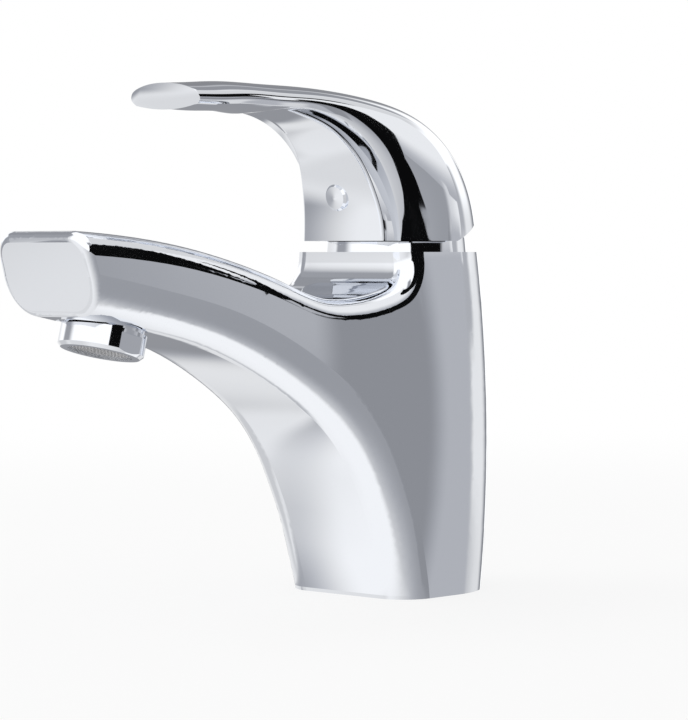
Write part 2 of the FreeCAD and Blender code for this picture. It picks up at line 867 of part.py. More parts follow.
# stem, drawn upright about the pivot and then leaned to its rest angle
lever_stem = new_body("lever_stem")
shank_bottom = -dim.stem_shoulder
half_stem = dim.stem_width / 2
shank = new_sketch(lever_stem, "Shank", "XY_Plane", (0, 0, shank_bottom))
add_polygon(shank, rectangle(-half_stem, half_stem, -half_stem, half_stem))
pad(lever_stem, shank, dim.stem_reach + dim.stem_shoulder)
disc(lever_stem, "Finger", dim.finger_radius, -dim.finger_reach, shank_bottom + 0.5)
ball = lever_stem.newObject("PartDesign::AdditiveSphere", "Ball")
bind(ball, "Radius", dim.ball_radius)
ball.Placement = FreeCAD.Placement(
    FreeCAD.Vector(0, 0, -dim.finger_reach.number), FreeCAD.Rotation()
)
document.recompute()
stem_hole = new_sketch(lever_stem, "PinHole", "YZ_Plane")
add_circle(stem_hole, dim.pivot_pin_radius + dim.slide_gap)
pocket(lever_stem, stem_hole, dim.stem_width * 2, middle=True)
turned(lever_stem, (0, 0, pivot_height), rest_angle.number)

# The nut and the cap ring.
nut_radius = dim.nut_thread_radius - dim.slide_gap
nut_bore = dim.collar_radius + dim.fit_gap
cartridge_nut = new_body("cartridge_nut")
revolve(cartridge_nut, "Thread", [
    (nut_bore, shoulder_height),
    (nut_radius, shoulder_height),
    (nut_radius, dim.rim_height),
    (nut_bore, dim.rim_height),
])
hexagon = new_sketch(cartridge_nut, "Hexagon", "XY_Plane", (0, 0, dim.rim_height))
corner = dim.nut_flats / 2 / math.cos(math.radians(30))
corner_points = []
for step in range(6):
    angle = math.radians(60 * step)
    corner_points.append((corner * round(math.cos(angle), 9), corner * round(math.sin(angle), 9)))
add_polygon(hexagon, corner_points)
add_circle(hexagon, nut_bore)
pad(cartridge_nut, hexagon, nut_top - dim.rim_height)

cap_ring = new_body("cap_ring")
cap_inner_foot = cap_foot_radius - dim.cap_wall
cap_inner_shoulder = cap_shoulder_radius - dim.cap_wall
revolve(cap_ring, "Dome", [
    (cap_inner_foot, dim.rim_height),
    (cap_foot_radius, dim.rim_height),
    (cap_shoulder_radius, cap_shoulder_height),
    (cap_mouth_radius, cap_mouth_height),
    (cap_mouth_radius, cap_mouth_height - dim.cap_wall),
    (cap_inner_shoulder, cap_shoulder_height - dim.cap_wall / 2),
])


def is_cap_shoulder(edge):
    box = edge.BoundBox
    return box.ZLength < 1e-3 and abs(box.ZMax - cap_shoulder_height.number) < 1e-3


round_edges(cap_ring, "ShoulderFillet", dim.cap_shoulder_fillet, is_cap_shoulder)


# The handle.
# Outline of the shell in planes that fan out about a line parallel to X: angle of the
# plane, then distances from that line and half widths across. It is drawn for this
# lever that reaches 92.7 and rises 38.6, on a hub of radius 22.8, with that line 60 in
# front of the axis.
lever_stretch = dim.lever_reach.number / 92.7
rise_stretch = dim.lever_rise.number / 38.6
width_stretch = handle_hub_radius.number / 22.8
fan_y = -60.0 * lever_stretch
fan_z = handle_bottom.number - 0.1
hub_stretch = (handle_hub_radius.number - fan_y) / (22.8 + 60.0)


class ShellSection:
    """One cross-section of the handle shell."""

    def __init__(self, angle, ridge, widest, side, lip, inner):
        drawn = math.radians(angle)
        out = math.cos(drawn) * (hub_stretch if angle < 90 else lever_stretch)
        rise = math.sin(drawn) * rise_stretch
        grown = math.hypot(out, rise)
        self.angle = math.degrees(math.atan2(rise, out))
        self.ridge = ridge * grown
        self.widest, self.side, self.lip, self.inner = [
            (x * width_stretch, y * grown) for x, y in (widest, side, lip, inner)
        ]

    def lip_curve(self, side):
        """From the inner edge round the lip to the widest point of one side."""
        points = [(side * x, y) for x, y in (self.inner, self.lip, self.side, self.widest)]
        return smooth_curve(points, LIP_STEPS, None, (0, 1))

    def crown_curve(self):
        """From the widest point on the right over the ridge to the left."""
        half_width, shoulder = self.widest
        rise = self.ridge - shoulder
        points = []
        for step in range(9):
            angle = math.radians(22.5 * step)
            points.append((half_width * math.cos(angle), shoulder + rise * math.sin(angle)))
        return smooth_curve(points, range(9), (0, 1), (0, -1))

    def draw(self, sketch):
        """The closed outline: both lips, the crown and the flat underside."""
        right = self.lip_curve(1)
        left = self.lip_curve(-1)
        left.reverse()
        x, y = self.inner
        sketch.addGeometry(right, False)
        sketch.addGeometry(self.crown_curve(), False)
        sketch.addGeometry(left, False)
        sketch.addGeometry(Part.LineSegment(vector((-x, y)), vector((x, y))), False)


LIP_STEPS = [0.0, 1.0, 2.2, 3.8]


def smooth_curve(points, steps, first, last):
    """A curve through points at fixed steps, leaving and arriving in given directions."""
    spots = [vector(point) for point in points]
    pace = Part.makePolygon(spots).Length / (steps[-1] - steps[0])
    still = FreeCAD.Vector(0, 0, 0)
    tangents = [still] * len(spots)
    tangents[0] = vector(first) * pace if first else still
    tangents[-1] = vector(last) * pace if last else still
    curve = Part.BSplineCurve()
    curve.interpolate(
        Points=spots,
        Parameters=[float(step) for step in steps],
        Tangents=tangents,
        TangentFlags=[direction.Length > 0 for direction in tangents],
    )
    return curve


SHELL = [
    ShellSection(0.0, 82.8, (22.8, 60.0), (21.3, 51.0), (19.6, 45.8), (16.5, 42.7)),
    ShellSection(10.4, 81.0, (22.2, 59.0), (20.9, 50.8), (19.2, 45.8), (16.3, 42.4)),
    ShellSection(20.0, 76.6, (20.9, 57.5), (19.9, 50.0), (18.4, 45.7), (15.9, 42.7)),
    ShellSection(30.7, 69.0, (19.3, 54.5), (18.6, 49.0), (17.3, 45.3), (15.2, 42.7)),
    ShellSection(42.6, 58.4, (17.6, 50.5), (17.3, 47.5), (16.5, 44.7), (14.6, 42.6)),
    ShellSection(56.0, 49.8, (16.2, 45.6), (16.0, 44.1), (15.4, 42.4), (14.2, 41.0)),
    ShellSection(74.0, 43.8, (15.2, 39.8), (15.1, 39.0), (14.7, 37.9), (14.0, 37.0)),
    ShellSection(95.0, 42.4, (14.4, 38.5), (14.3, 37.8), (13.9, 36.8), (13.3, 36.0)),
    ShellSection(114.0, 46.1, (13.7, 42.1), (13.6, 41.4), (13.2, 40.3), (12.6, 39.4)),
    ShellSection(126.0, 50.9, (13.1, 46.4), (13.0, 45.7), (12.6, 44.7), (12.0, 43.8)),
    ShellSection(137.0, 58.8, (12.2, 54.4), (12.1, 53.6), (11.7, 52.5), (11.1, 51.5)),
]
NECK_FRONT = [
    (0.0, -2.0),
    (-0.1, 5.0),
    (-2.0, 13.5),
    (-5.5, 21.8),
    (-10.2, 27.3),
    (-16.7, 31.5),
    (-25.7, 34.2),
    (-35.7, 36.2),
]
NECK_HALF_WIDTH = [
    (15.3, -2.0),
    (14.9, 5.0),
    (13.6, 13.5),
    (11.8, 21.8),
    (10.3, 27.3),
    (9.2, 31.5),
    (8.2, 34.2),
    (7.4, 37.5),
]
def neck_point(y, rise):
    """Stretches a point of the neck's front to the sizes in the sheet."""
    return (-neck_front.number + y * lever_stretch, handle_bottom.number + rise * rise_stretch)


def neck_face_y(height):
    """Where the front of the neck lies at one height."""
    curve = Part.BSplineCurve()
    curve.interpolate([vector(neck_point(y, rise)) for y, rise in NECK_FRONT])
    low, high = curve.FirstParameter, curve.LastParameter
    for _ in range(60):
        middle = (low + high) / 2
        if curve.value(middle).y < height:
            low = middle
        else:
            high = middle
    return curve.value(low).x


handle = new_body("handle")
neck = new_sketch(handle, "NeckSide", "YZ_Plane")
neck_top = neck_point(0.0, NECK_HALF_WIDTH[-1][1])[1]
spline_outline(
    neck,
    [neck_point(y, rise) for y, rise in NECK_FRONT],
    [
        (neck_point(*NECK_FRONT[-1])[0], neck_top),
        (-10.0, neck_top),
        (-10.0, neck_point(*NECK_FRONT[0])[1]),
    ],
)
pad(handle, neck, hollow_radius * 2, middle=True)
for side, name in ((1, "NeckRight"), (-1, "NeckLeft")):
    trim = new_sketch(handle, name, "XZ_Plane")
    edge_points = [
        (side * half * width_stretch, neck_point(0.0, rise)[1]) for half, rise in NECK_HALF_WIDTH
    ]
    far = side * (hollow_radius.number + 5.0)
    spline_outline(trim, edge_points, [(far, edge_points[-1][1]), (far, edge_points[0][1])])
    pocket(handle, trim, WIDE * 2, middle=True)

sections = []
for index, section in enumerate(SHELL):
    place = (0, fan_y, fan_z)
    sketch = new_sketch(handle, f"Shell{index}", "XY_Plane", place, section.angle)
    section.draw(sketch)
    sections.append(sketch)
shell = handle.newObject("PartDesign::AdditiveLoft", "Shell")
shell.Profile = sections[0]
shell.Sections = sections[1:]
document.recompute()

slope = tangent(dim.handle_clearance_angle)
back = handle_hub_radius + 10.0
bottom_cut = new_sketch(handle, "BottomCut", "YZ_Plane")
add_polygon(bottom_cut, [
    (-neck_front - 20.0, handle_bottom - 20.0),
    (-neck_front - 20.0, handle_bottom),
    (0, handle_bottom),
    (back, handle_bottom + back * slope),
    (back, handle_bottom - 20.0),
])
pocket(handle, bottom_cut, WIDE, middle=True)

tip_cut = new_sketch(handle, "TipCut", "YZ_Plane")
tip_slope = tangent(dim.tip_tilt)
tip_half = dim.lever_rise * 0.4
add_polygon(tip_cut, [
    (-dim.lever_reach - tip_slope * tip_half, tip_height + tip_half),
    (-dim.lever_reach + tip_slope * tip_half, tip_height - tip_half),
    (-dim.lever_reach - dim.lever_rise, tip_height - tip_half),
    (-dim.lever_reach - dim.lever_rise, tip_height + tip_half),
])
pocket(handle, tip_cut, WIDE, middle=True)

hollow_top = handle_bottom + dim.hollow_height
drill(handle, "Hollow", hollow_radius, handle_bottom - 2.0, hollow_top)
drill(handle, "UpperHollow", upper_hollow_radius, hollow_top - 0.5,
      handle_bottom + dim.upper_hollow_height, (0, -dim.upper_hollow_shift))

pivot = (0, 0, pivot_height)
socket_start = 12.0
socket_spot = on_axis(pivot, rest_angle, socket_start)
socket = new_sketch(handle, "StemSocket", "XY_Plane", socket_spot, rest_angle.number)
socket_half = dim.stem_width / 2 + dim.fit_gap
add_polygon(socket, rectangle(-socket_half, socket_half, -socket_half, socket_half))
pocket(handle, socket, dim.stem_reach + dim.fit_gap - socket_start, backwards=True)

# the plug and the screw lie on an axis square to the stem
lean = math.radians(rest_angle.number)
plug_y = neck_face_y(plug_height.number)
plug_face = -plug_y * math.cos(lean) - (plug_height - pivot_height).number * math.sin(lean)
screw_lift = -plug_y * math.sin(lean) + (plug_height - pivot_height).number * math.cos(lean)
screw_spot = on_axis(pivot, rest_angle, screw_lift)


def across_stem(body, name, distance):
    """A sketch square to the screw axis, some way out from the stem's centre."""
    y = screw_spot[1] - distance * math.cos(lean)
    z = screw_spot[2] - distance * math.sin(lean)
    return new_sketch(body, name, "XZ_Plane", (0, z, -y), rest_angle.number)


screw_hole = across_stem(handle, "ScrewHole", 0.0)
add_circle(screw_hole, dim.screw_radius + dim.slide_gap)
pocket(handle, screw_hole, WIDE / 2, backwards=True)
plug_seat = across_stem(handle, "PlugSeat", plug_face - dim.plug_seat_depth.number)
add_circle(plug_seat, dim.plug_radius + dim.fit_gap)
pocket(handle, plug_seat, WIDE / 2, backwards=True)


def place_on_screw_axis(body):
    spot = FreeCAD.Vector(*screw_spot)
    axis = FreeCAD.Vector(1, 0, 0)
    body.Placement = FreeCAD.Placement(spot, FreeCAD.Rotation(axis, 90 + rest_angle.number))


set_screw = new_body("set_screw")
screw_start = dim.stem_width / 2 + dim.slide_gap
screw_end = screw_start + dim.screw_length
key_floor = screw_end - dim.screw_key_depth
revolve(set_screw, "Thread", [
    (0, screw_start),
    (dim.screw_radius - 0.8, screw_start),
    (dim.screw_radius, screw_start + 0.8),
    (dim.screw_radius, screw_end),
    (0, screw_end),
])
key = new_sketch(set_screw, "Key", "XY_Plane", (0, 0, screw_end))
key_points = []
for step in range(6):
    angle = math.radians(60 * step)
    turn = (round(math.cos(angle), 9), round(math.sin(angle), 9))
    key_points.append((dim.screw_key_radius * turn[0], dim.screw_key_radius * turn[1]))
add_polygon(key, key_points)
pocket(set_screw, key, screw_end - key_floor)
place_on_screw_axis(set_screw)

index_plug = new_body("index_plug")
head_bottom = Size.of(plug_face) - dim.plug_seat_depth
head_top = Size.of(plug_face) + dim.plug_proud
revolve(index_plug, "Plug", [
    (0, head_bottom - dim.plug_shank_length),
    (dim.plug_shank_radius, head_bottom - dim.plug_shank_length),
    (dim.plug_shank_radius, head_bottom),
    (dim.plug_radius, head_bottom),
    (dim.plug_radius, head_top - 0.6),
    (dim.plug_radius - 0.6, head_top),
    (0, head_top + 0.2),
])
place_on_screw_axis(index_plug)

# The aerator.
aerator_seat = (0, -aerator_seat_y, aerator_seat_z)
skirt_bottom_z = -dim.aerator_length
neck_outer = dim.aerator_bore_radius - dim.slide_gap
insert_bore = dim.aerator_mouth_radius + 0.6
mesh_bottom = skirt_bottom_z + dim.mesh_recess
mesh_top = mesh_bottom + dim.mesh_thickness
insert_top = mesh_top + dim.insert_height
seal_top = dim.aerator_neck_length + dim.seal_thickness

aerator_housing = new_body("aerator_housing")
revolve(aerator_housing, "Skirt", [
    (dim.aerator_mouth_radius, skirt_bottom_z),
    (dim.aerator_radius - dim.aerator_chamfer, skirt_bottom_z),
    (dim.aerator_radius, skirt_bottom_z + dim.aerator_chamfer),
    (dim.aerator_radius, -dim.aerator_groove),
    (dim.aerator_radius - dim.aerator_groove, -dim.aerator_groove),
    (dim.aerator_radius - dim.aerator_groove, 0),
    (neck_outer, 0),
    (neck_outer, dim.aerator_neck_length),
    (insert_bore, dim.aerator_neck_length),
    (insert_bore, mesh_bottom),
    (dim.aerator_mouth_radius, mesh_bottom),
])
flat_top = -dim.aerator_groove - 1.0
for side, name in ((1, "FlatRight"), (-1, "FlatLeft")):
    flat = new_sketch(aerator_housing, name, "XY_Plane", (0, 0, flat_top))
    inside = dim.aerator_flats / 2 * side
    outside = (dim.aerator_radius + 2.0) * side
    add_polygon(flat, rectangle(inside, outside, -dim.aerator_radius, dim.aerator_radius))
    pocket(aerator_housing, flat, dim.aerator_length)

aerator_mesh = new_body("aerator_mesh")
screen = new_sketch(aerator_mesh, "Screen", "XY_Plane", (0, 0, mesh_bottom))
add_circle(screen, insert_bore - dim.slide_gap)
half_hole = (dim.mesh_pitch.number - dim.mesh_wire.number) / 2
reach = int(dim.aerator_mouth_radius.number / dim.mesh_pitch.number)
for column in range(-reach, reach + 1):
    for line in range(-reach, reach + 1):
        x = column * dim.mesh_pitch.number
        y = line * dim.mesh_pitch.number
        if math.hypot(abs(x) + half_hole, abs(y) + half_hole) > dim.aerator_mouth_radius.number:
            continue
        holes = rectangle(x - half_hole, x + half_hole, y - half_hole, y + half_hole)
        for start, stop in zip(holes, holes[1:] + holes[:1]):
            screen.addGeometry(Part.LineSegment(vector(start), vector(stop)), False)
pad(aerator_mesh, screen, dim.mesh_thickness)

aerator_insert = new_body("aerator_insert")
insert_radius = insert_bore - dim.slide_gap
revolve(aerator_insert, "Insert", [
    (insert_radius - dim.aerator_wall, mesh_top),
    (insert_radius, mesh_top),
    (insert_radius, insert_top),
    (2.0, insert_top),
    (2.0, insert_top - dim.aerator_wall),
    (insert_radius - dim.aerator_wall, insert_top - dim.aerator_wall),
])

strainer_bottom = insert_top
aerator_strainer = new_body("aerator_strainer")
strainer_top = strainer_bottom + dim.strainer_height
revolve(aerator_strainer, "Strainer", [
    (insert_radius - 2.5, strainer_bottom),
    (insert_radius - 1.5, strainer_bottom),
    (insert_radius - 2.5, strainer_top),
    (0, strainer_top),
    (0, strainer_top - 1.0),
    (insert_radius - 3.4, strainer_top - 1.0),
])

aerator_seal = new_body("aerator_seal")
revolve(aerator_seal, "Washer", [
    (insert_radius - 1.2, dim.aerator_neck_length),
    (neck_outer, dim.aerator_neck_length),
    (neck_outer, seal_top),
    (insert_radius - 1.2, seal_top),
])

for piece in (aerator_housing, aerator_mesh, aerator_insert, aerator_strainer, aerator_seal):
    turned(piece, aerator_seat, -dim.aerator_tilt.number)

# Checks and export.
PIECES = [
    tap_body, base_gasket, cartridge_base, seat_seals, disc_seals, cartridge_housing,
    ceramic_disc_fixed, ceramic_disc_moving, disc_carrier, stem_guide, guide_ring,
    pivot_pin, limiter_ring, lever_stem, cartridge_nut, cap_ring, handle, set_screw,
    index_plug, aerator_housing, aerator_mesh, aerator_insert, aerator_strainer,
    aerator_seal,
]
document.recompute()
for item in document.Objects:
    if "Invalid" in item.State or "Error" in item.State:
        raise RuntimeError(f"{item.Name} did not build")
for piece in PIECES:
    if piece.Shape.isNull() or not piece.Shape.isValid() or not piece.Shape.Solids:
        raise RuntimeError(f"{piece.Label} has no sound shape")

os.makedirs("parts", exist_ok=True)
for piece in PIECES:
    piece.Shape.exportStep(f"parts/{piece.Label}.step")
    print(piece.Label, len(piece.Shape.Solids), round(piece.Shape.Volume, 1))
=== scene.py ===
"""Looks of the basin mixer tap: finishes, fine pieces, studio and camera."""

import logging
import math
from dataclasses import dataclass
from enum import Enum
from typing import Optional, Union

import bmesh
import bpy
import numpy as np
from mathutils import Matrix, Vector
from mathutils.bvhtree import BVHTree


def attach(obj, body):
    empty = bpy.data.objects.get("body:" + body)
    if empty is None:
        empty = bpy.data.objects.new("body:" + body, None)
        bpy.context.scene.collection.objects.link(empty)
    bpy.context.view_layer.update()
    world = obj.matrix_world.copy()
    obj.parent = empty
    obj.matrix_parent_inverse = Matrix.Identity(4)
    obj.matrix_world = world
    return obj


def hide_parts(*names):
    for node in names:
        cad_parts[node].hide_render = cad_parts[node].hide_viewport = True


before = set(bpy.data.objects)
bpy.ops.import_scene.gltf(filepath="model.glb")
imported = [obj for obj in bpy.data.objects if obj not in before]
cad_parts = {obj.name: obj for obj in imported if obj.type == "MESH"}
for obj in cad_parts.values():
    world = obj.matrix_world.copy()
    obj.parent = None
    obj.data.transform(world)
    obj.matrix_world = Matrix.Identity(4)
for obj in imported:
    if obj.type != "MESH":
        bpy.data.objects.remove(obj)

LOG = logging.getLogger("tap")
MM = 0.001
# Distances in metres at which a point counts as touching or lying in a plane.
TOUCHING = 1e-7
ON_PLANE = 1e-5

Rgb = tuple[float, float, float]
Rgba = tuple[float, float, float, float]
Point = tuple[float, float, float]
Span = tuple[float, float]


class Body(Enum):
    """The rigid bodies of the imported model."""

    TAP = "tap"
    SWIVEL = "swivel"
    LEVER = "lever"
    SLIDER = "slider"


Number = Union[float, int, "Value"]


class Value:
    """A number that a shader socket gives. Arithmetic on it adds Math nodes."""

    def __init__(self, graph: "Graph", socket: bpy.types.NodeSocket) -> None:
        """Wraps a socket of the graph.

        Args:
            graph: The graph that new nodes are added to.
            socket: The output socket that carries the number.
        """
        self.graph = graph
        self.socket = socket

    def _math(self, operation: str, *terms: Number) -> "Value":
        """Adds one Math node.

        Args:
            operation: The node's operation.
            terms: The numbers that go into its sockets, in order.

        Returns:
            The node's result.
        """
        node = self.graph.node(
            "ShaderNodeMath", {"operation": operation}, dict(enumerate(terms))
        )
        return Value(self.graph, node.outputs[0])

    def __add__(self, other: Number) -> "Value":
        """Returns self + other."""
        return self._math("ADD", self, other)

    def __radd__(self, other: Number) -> "Value":
        """Returns other + self."""
        return self._math("ADD", other, self)

    def __sub__(self, other: Number) -> "Value":
        """Returns self - other."""
        return self._math("SUBTRACT", self, other)

    def __rsub__(self, other: Number) -> "Value":
        """Returns other - self."""
        return self._math("SUBTRACT", other, self)

    def __mul__(self, other: Number) -> "Value":
        """Returns self * other."""
        return self._math("MULTIPLY", self, other)

    def __rmul__(self, other: Number) -> "Value":
        """Returns other * self."""
        return self._math("MULTIPLY", other, self)

    def __truediv__(self, other: Number) -> "Value":
        """Returns self / other."""
        return self._math("DIVIDE", self, other)

    def __rtruediv__(self, other: Number) -> "Value":
        """Returns other / self."""
        return self._math("DIVIDE", other, self)

    def sine(self) -> "Value":
        """Returns the sine of self."""
        return self._math("SINE", self)

    def arcsine(self) -> "Value":
        """Returns the angle whose sine is self."""
        return self._math("ARCSINE", self)

    def angle_to(self, other: Number) -> "Value":
        """Returns the angle of the point (other, self), in radians."""
        return self._math("ARCTAN2", self, other)

    def root(self) -> "Value":
        """Returns the square root of self."""
        return self._math("SQRT", self)

    def at_most(self, other: Number) -> "Value":
        """Returns the smaller of self and other."""
        return self._math("MINIMUM", self, other)

    def at_least(self, other: Number) -> "Value":
        """Returns the larger of self and other."""
        return self._math("MAXIMUM", self, other)

    def ramp(self, start: float, end: float) -> "Value":
        """Eases from 0 at start to 1 at end.

        Args:
            start: The value of self that gives 0.
            end: The value of self that gives 1; below start, the ramp falls.

        Returns:
            The eased value, between 0 and 1.
        """
        low, high = (start, end) if start < end else (end, start)
        node = self.graph.node(
            "ShaderNodeMapRange",
            {"interpolation_type": "SMOOTHSTEP"},
            {"Value": self, "From Min": low, "From Max": high},
        )
        rise = Value(self.graph, node.outputs["Result"])
        return rise if start < end else 1 - rise

    def wrapped(self, half: float) -> "Value":
        """Returns self brought between -half and half by whole turns."""
        return self._math("WRAP", self, half, -half)


Colour = Union[Rgba, bpy.types.NodeSocket]
WHITE: Rgba = (1.0, 1.0, 1.0, 1.0)


def opaque(colour: Rgb, share: float = 1.0) -> Rgba:
    """Gives a colour full alpha.

    Args:
        colour: The colour.
        share: What it is darkened to.

    Returns:
        The darkened colour.
    """
    red, green, blue = (part * share for part in colour)
    return (red, green, blue, 1.0)


def grey(level: float) -> Rgba:
    """Returns a grey with full alpha."""
    return (level, level, level, 1.0)


class Graph:
    """Builds the nodes of one material or world."""

    def __init__(self, tree: bpy.types.NodeTree) -> None:
        """Empties a node tree and keeps it.

        Args:
            tree: The node tree to fill.
        """
        self.tree = tree
        tree.nodes.clear()

    def node(
        self,
        kind: str,
        settings: Optional[dict[str, object]] = None,
        sockets: Optional[dict[Union[str, int], object]] = None,
    ) -> bpy.types.Node:
        """Adds one node.

        Args:
            kind: The node's type name.
            settings: Its properties, set first.
            sockets: The value or link of each input socket.

        Returns:
            The new node.
        """
        made = self.tree.nodes.new(kind)
        for name, value in (settings or {}).items():
            setattr(made, name, value)
        for name, value in (sockets or {}).items():
            self._feed(made.inputs[name], value)
        return made

    def _feed(self, socket: bpy.types.NodeSocket, value: object) -> None:
        """Links or sets an input socket.

        Args:
            socket: The input socket.
            value: A Value or output socket to link, or a constant to set.
        """
        if isinstance(value, Value):
            self.tree.links.new(value.socket, socket)
        elif isinstance(value, bpy.types.NodeSocket):
            self.tree.links.new(value, socket)
        else:
            socket.default_value = value

    def place(self) -> tuple[Value, Value, Value, bpy.types.NodeSocket]:
        """Adds the surface point.

        Returns:
            Its X, Y and Z in metres, and the vector itself.
        """
        point = self.node("ShaderNodeTexCoord").outputs["Object"]
        parts = self.node("ShaderNodeSeparateXYZ", None, {0: point})
        x, y, z = (Value(self, output) for output in parts.outputs)
        return x, y, z, point

    def noise(
        self,
        point: bpy.types.NodeSocket,
        scale: float,
        detail: float = 2.0,
        roughness: float = 0.5,
    ) -> Value:
        """Adds a noise texture.

        Args:
            point: Where it is looked up.
            scale: Features per metre.
            detail: Number of finer layers.
            roughness: Weight of the finer layers.

        Returns:
            The noise, about 0.5 on average.
        """
        made = self.node(
            "ShaderNodeTexNoise",
            None,
            {"Vector": point, "Scale": scale, "Detail": detail, "Roughness": roughness},
        )
        return Value(self, made.outputs[0])

    def mix(
        self, factor: Number, first: Colour, second: Colour
    ) -> bpy.types.NodeSocket:
        """Mixes two colours.

        Args:
            factor: Share of the second colour.
            first: Colour at factor 0.
            second: Colour at factor 1.

        Returns:
            The mixed colour.
        """
        made = self.node(
            "ShaderNodeMix",
            {"data_type": "RGBA"},
            {0: factor, 6: first, 7: second},
        )
        return made.outputs[2]

    def scaled(
        self, colour: bpy.types.NodeSocket, factor: Number
    ) -> bpy.types.NodeSocket:
        """Multiplies a colour by a number.

        Args:
            colour: The colour.
            factor: The number.

        Returns:
            The brighter or dimmer colour.
        """
        made = self.node(
            "ShaderNodeVectorMath",
            {"operation": "SCALE"},
            {0: colour, "Scale": factor},
        )
        return made.outputs[0]

    def blend(
        self, factor: Number, first: bpy.types.Node, second: bpy.types.Node
    ) -> bpy.types.Node:
        """Mixes two shaders.

        Args:
            factor: Share of the second shader.
            first: Shader at factor 0.
            second: Shader at factor 1.

        Returns:
            The mixing node.
        """
        return self.node(
            "ShaderNodeMixShader",
            None,
            {0: factor, 1: first.outputs[0], 2: second.outputs[0]},
        )

    def relief(
        self, height: Value, depth: float, strength: float = 1.0
    ) -> bpy.types.NodeSocket:
        """Turns a height into a bumped normal.

        Args:
            height: The height, between 0 and 1.
            depth: Depth of a height of 1, in metres.
            strength: Share of the effect.

        Returns:
            The normal.
        """
        made = self.node(
            "ShaderNodeBump",
            None,
            {"Height": height, "Distance": depth, "Strength": strength},
        )
        return made.outputs["Normal"]

    def surface(
        self,
        colour: Colour,
        roughness: Number,
        normal: bpy.types.NodeSocket,
        metallic: float = 0.0,
        specular: float = 0.5,
    ) -> None:
        """Adds the surface shader and the output.

        Args:
            colour: Base colour.
            roughness: Roughness.
            normal: A bumped normal.
            metallic: How far the surface is metal.
            specular: Strength of the clear reflection of what isn't metal.
        """
        shader = self.node(
            "ShaderNodeBsdfPrincipled",
            None,
            {
                "Base Color": colour,
                "Roughness": roughness,
                "Metallic": metallic,
                "Specular IOR Level": specular,
                "Normal": normal,
            },
        )
        self.output(shader)

    def output(self, shader: bpy.types.Node) -> None:
        """Adds the output of a material, fed by a shader."""
        self.node("ShaderNodeOutputMaterial", None, {"Surface": shader.outputs[0]})


@dataclass(frozen=True)
class Finish:
    """A surface finish. Each kind fills in its own nodes."""

    name: str

    def paint(self, graph: Graph) -> None:
        """Adds the finish's nodes to the graph.

        Args:
            graph: The material's graph.
        """
        raise NotImplementedError

    def material(self) -> bpy.types.Material:
        """Makes the finish's material once, and then shares it.

        Returns:
            The material.
        """
        known = bpy.data.materials.get(self.name)
        if known is not None:
            return known
        made = bpy.data.materials.new(self.name)
        made.use_nodes = True
        self.paint(Graph(made.node_tree))
        return made


@dataclass(frozen=True)
class ChromePlate(Finish):
    """Bright chrome over polished brass, with faint polishing waves."""

    tint: Rgb = (0.86, 0.88, 0.92)
    gloss: float = 0.03
    haze: float = 0.035
    smear_scale: float = 95.0
    smear_span: Span = (0.35, 0.8)
    wave_scale: float = 42.0
    wave_depth: float = 0.000006

    def dullness(self, graph: Graph, point: bpy.types.NodeSocket) -> Value:
        """Returns the plate's roughness, a little higher where it is smeared."""
        smears = graph.noise(point, self.smear_scale, detail=3.0)
        return smears.ramp(*self.smear_span) * self.haze + self.gloss

    def waves(self, graph: Graph, point: bpy.types.NodeSocket) -> Value:
        """Returns the height of the polishing waves."""
        return graph.noise(point, self.wave_scale, detail=1.0)

    def paint(self, graph: Graph) -> None:
        """Adds the nodes of the plating.

        Args:
            graph: The material's graph.
        """
        point = graph.place()[3]
        graph.surface(
            opaque(self.tint),
            self.dullness(graph, point),
            graph.relief(self.waves(graph, point), self.wave_depth),
            metallic=1.0,
        )


@dataclass(frozen=True)
class PlatedCasting(ChromePlate):
    """Chrome outside; raw sand-cast and machined brass inside the body."""

    core_radius: float = 20.6 * MM
    core_top: float = 84.0 * MM
    side_fade: float = 0.4 * MM
    top_fade: float = 1.0 * MM
    foot_fade: Span = (0.2 * MM, 0.6 * MM)
    brass: Rgb = (0.62, 0.46, 0.22)
    oxide: float = 0.72
    grain_scale: float = 900.0
    grain_span: Span = (0.3, 0.7)
    grain_depth: float = 0.00012
    raw_roughness: Span = (0.35, 0.60)

    def paint(self, graph: Graph) -> None:
        """Adds the nodes of plating and raw brass.

        Args:
            graph: The material's graph.
        """
        x, y, z, point = graph.place()
        from_axis = (x * x + y * y).root()
        inside = from_axis.ramp(self.core_radius, self.core_radius - self.side_fade)
        inside = inside * z.ramp(self.core_top, self.core_top - self.top_fade)
        inside = inside * z.ramp(*self.foot_fade)
        grain = graph.noise(point, self.grain_scale, detail=4.0, roughness=0.7)
        raw = graph.mix(
            grain.ramp(*self.grain_span),
            opaque(self.brass),
            opaque(self.brass, self.oxide),
        )
        smooth, rough = self.raw_roughness
        waves = self.waves(graph, point) * (self.wave_depth / self.grain_depth)
        graph.surface(
            graph.mix(inside, opaque(self.tint), raw),
            self.dullness(graph, point) * (1 - inside)
            + inside * (grain * (rough - smooth) + smooth),
            graph.relief(waves * (1 - inside) + grain * inside, self.grain_depth),
            metallic=1.0,
        )


@dataclass(frozen=True)
class Moulded(Finish):
    """Injection-moulded plastic with a fine spark-eroded grain."""

    colour: Rgb = (0.85, 0.85, 0.83)
    roughness: float = 0.42
    shade: float = 0.9
    flow_scale: float = 120.0
    flow_span: Span = (0.3, 0.75)
    grain_scale: float = 5200.0
    grain_depth: float = 0.00003
    unevenness: float = 0.12

    def paint(self, graph: Graph) -> None:
        """Adds the nodes of the plastic.

        Args:
            graph: The material's graph.
        """
        point = graph.place()[3]
        flow = graph.noise(point, self.flow_scale)
        grain = graph.noise(point, self.grain_scale)
        graph.surface(
            graph.mix(
                flow.ramp(*self.flow_span),
                opaque(self.colour),
                opaque(self.colour, self.shade),
            ),
            grain * self.unevenness + (self.roughness - self.unevenness / 2),
            graph.relief(grain, self.grain_depth, strength=0.5),
        )


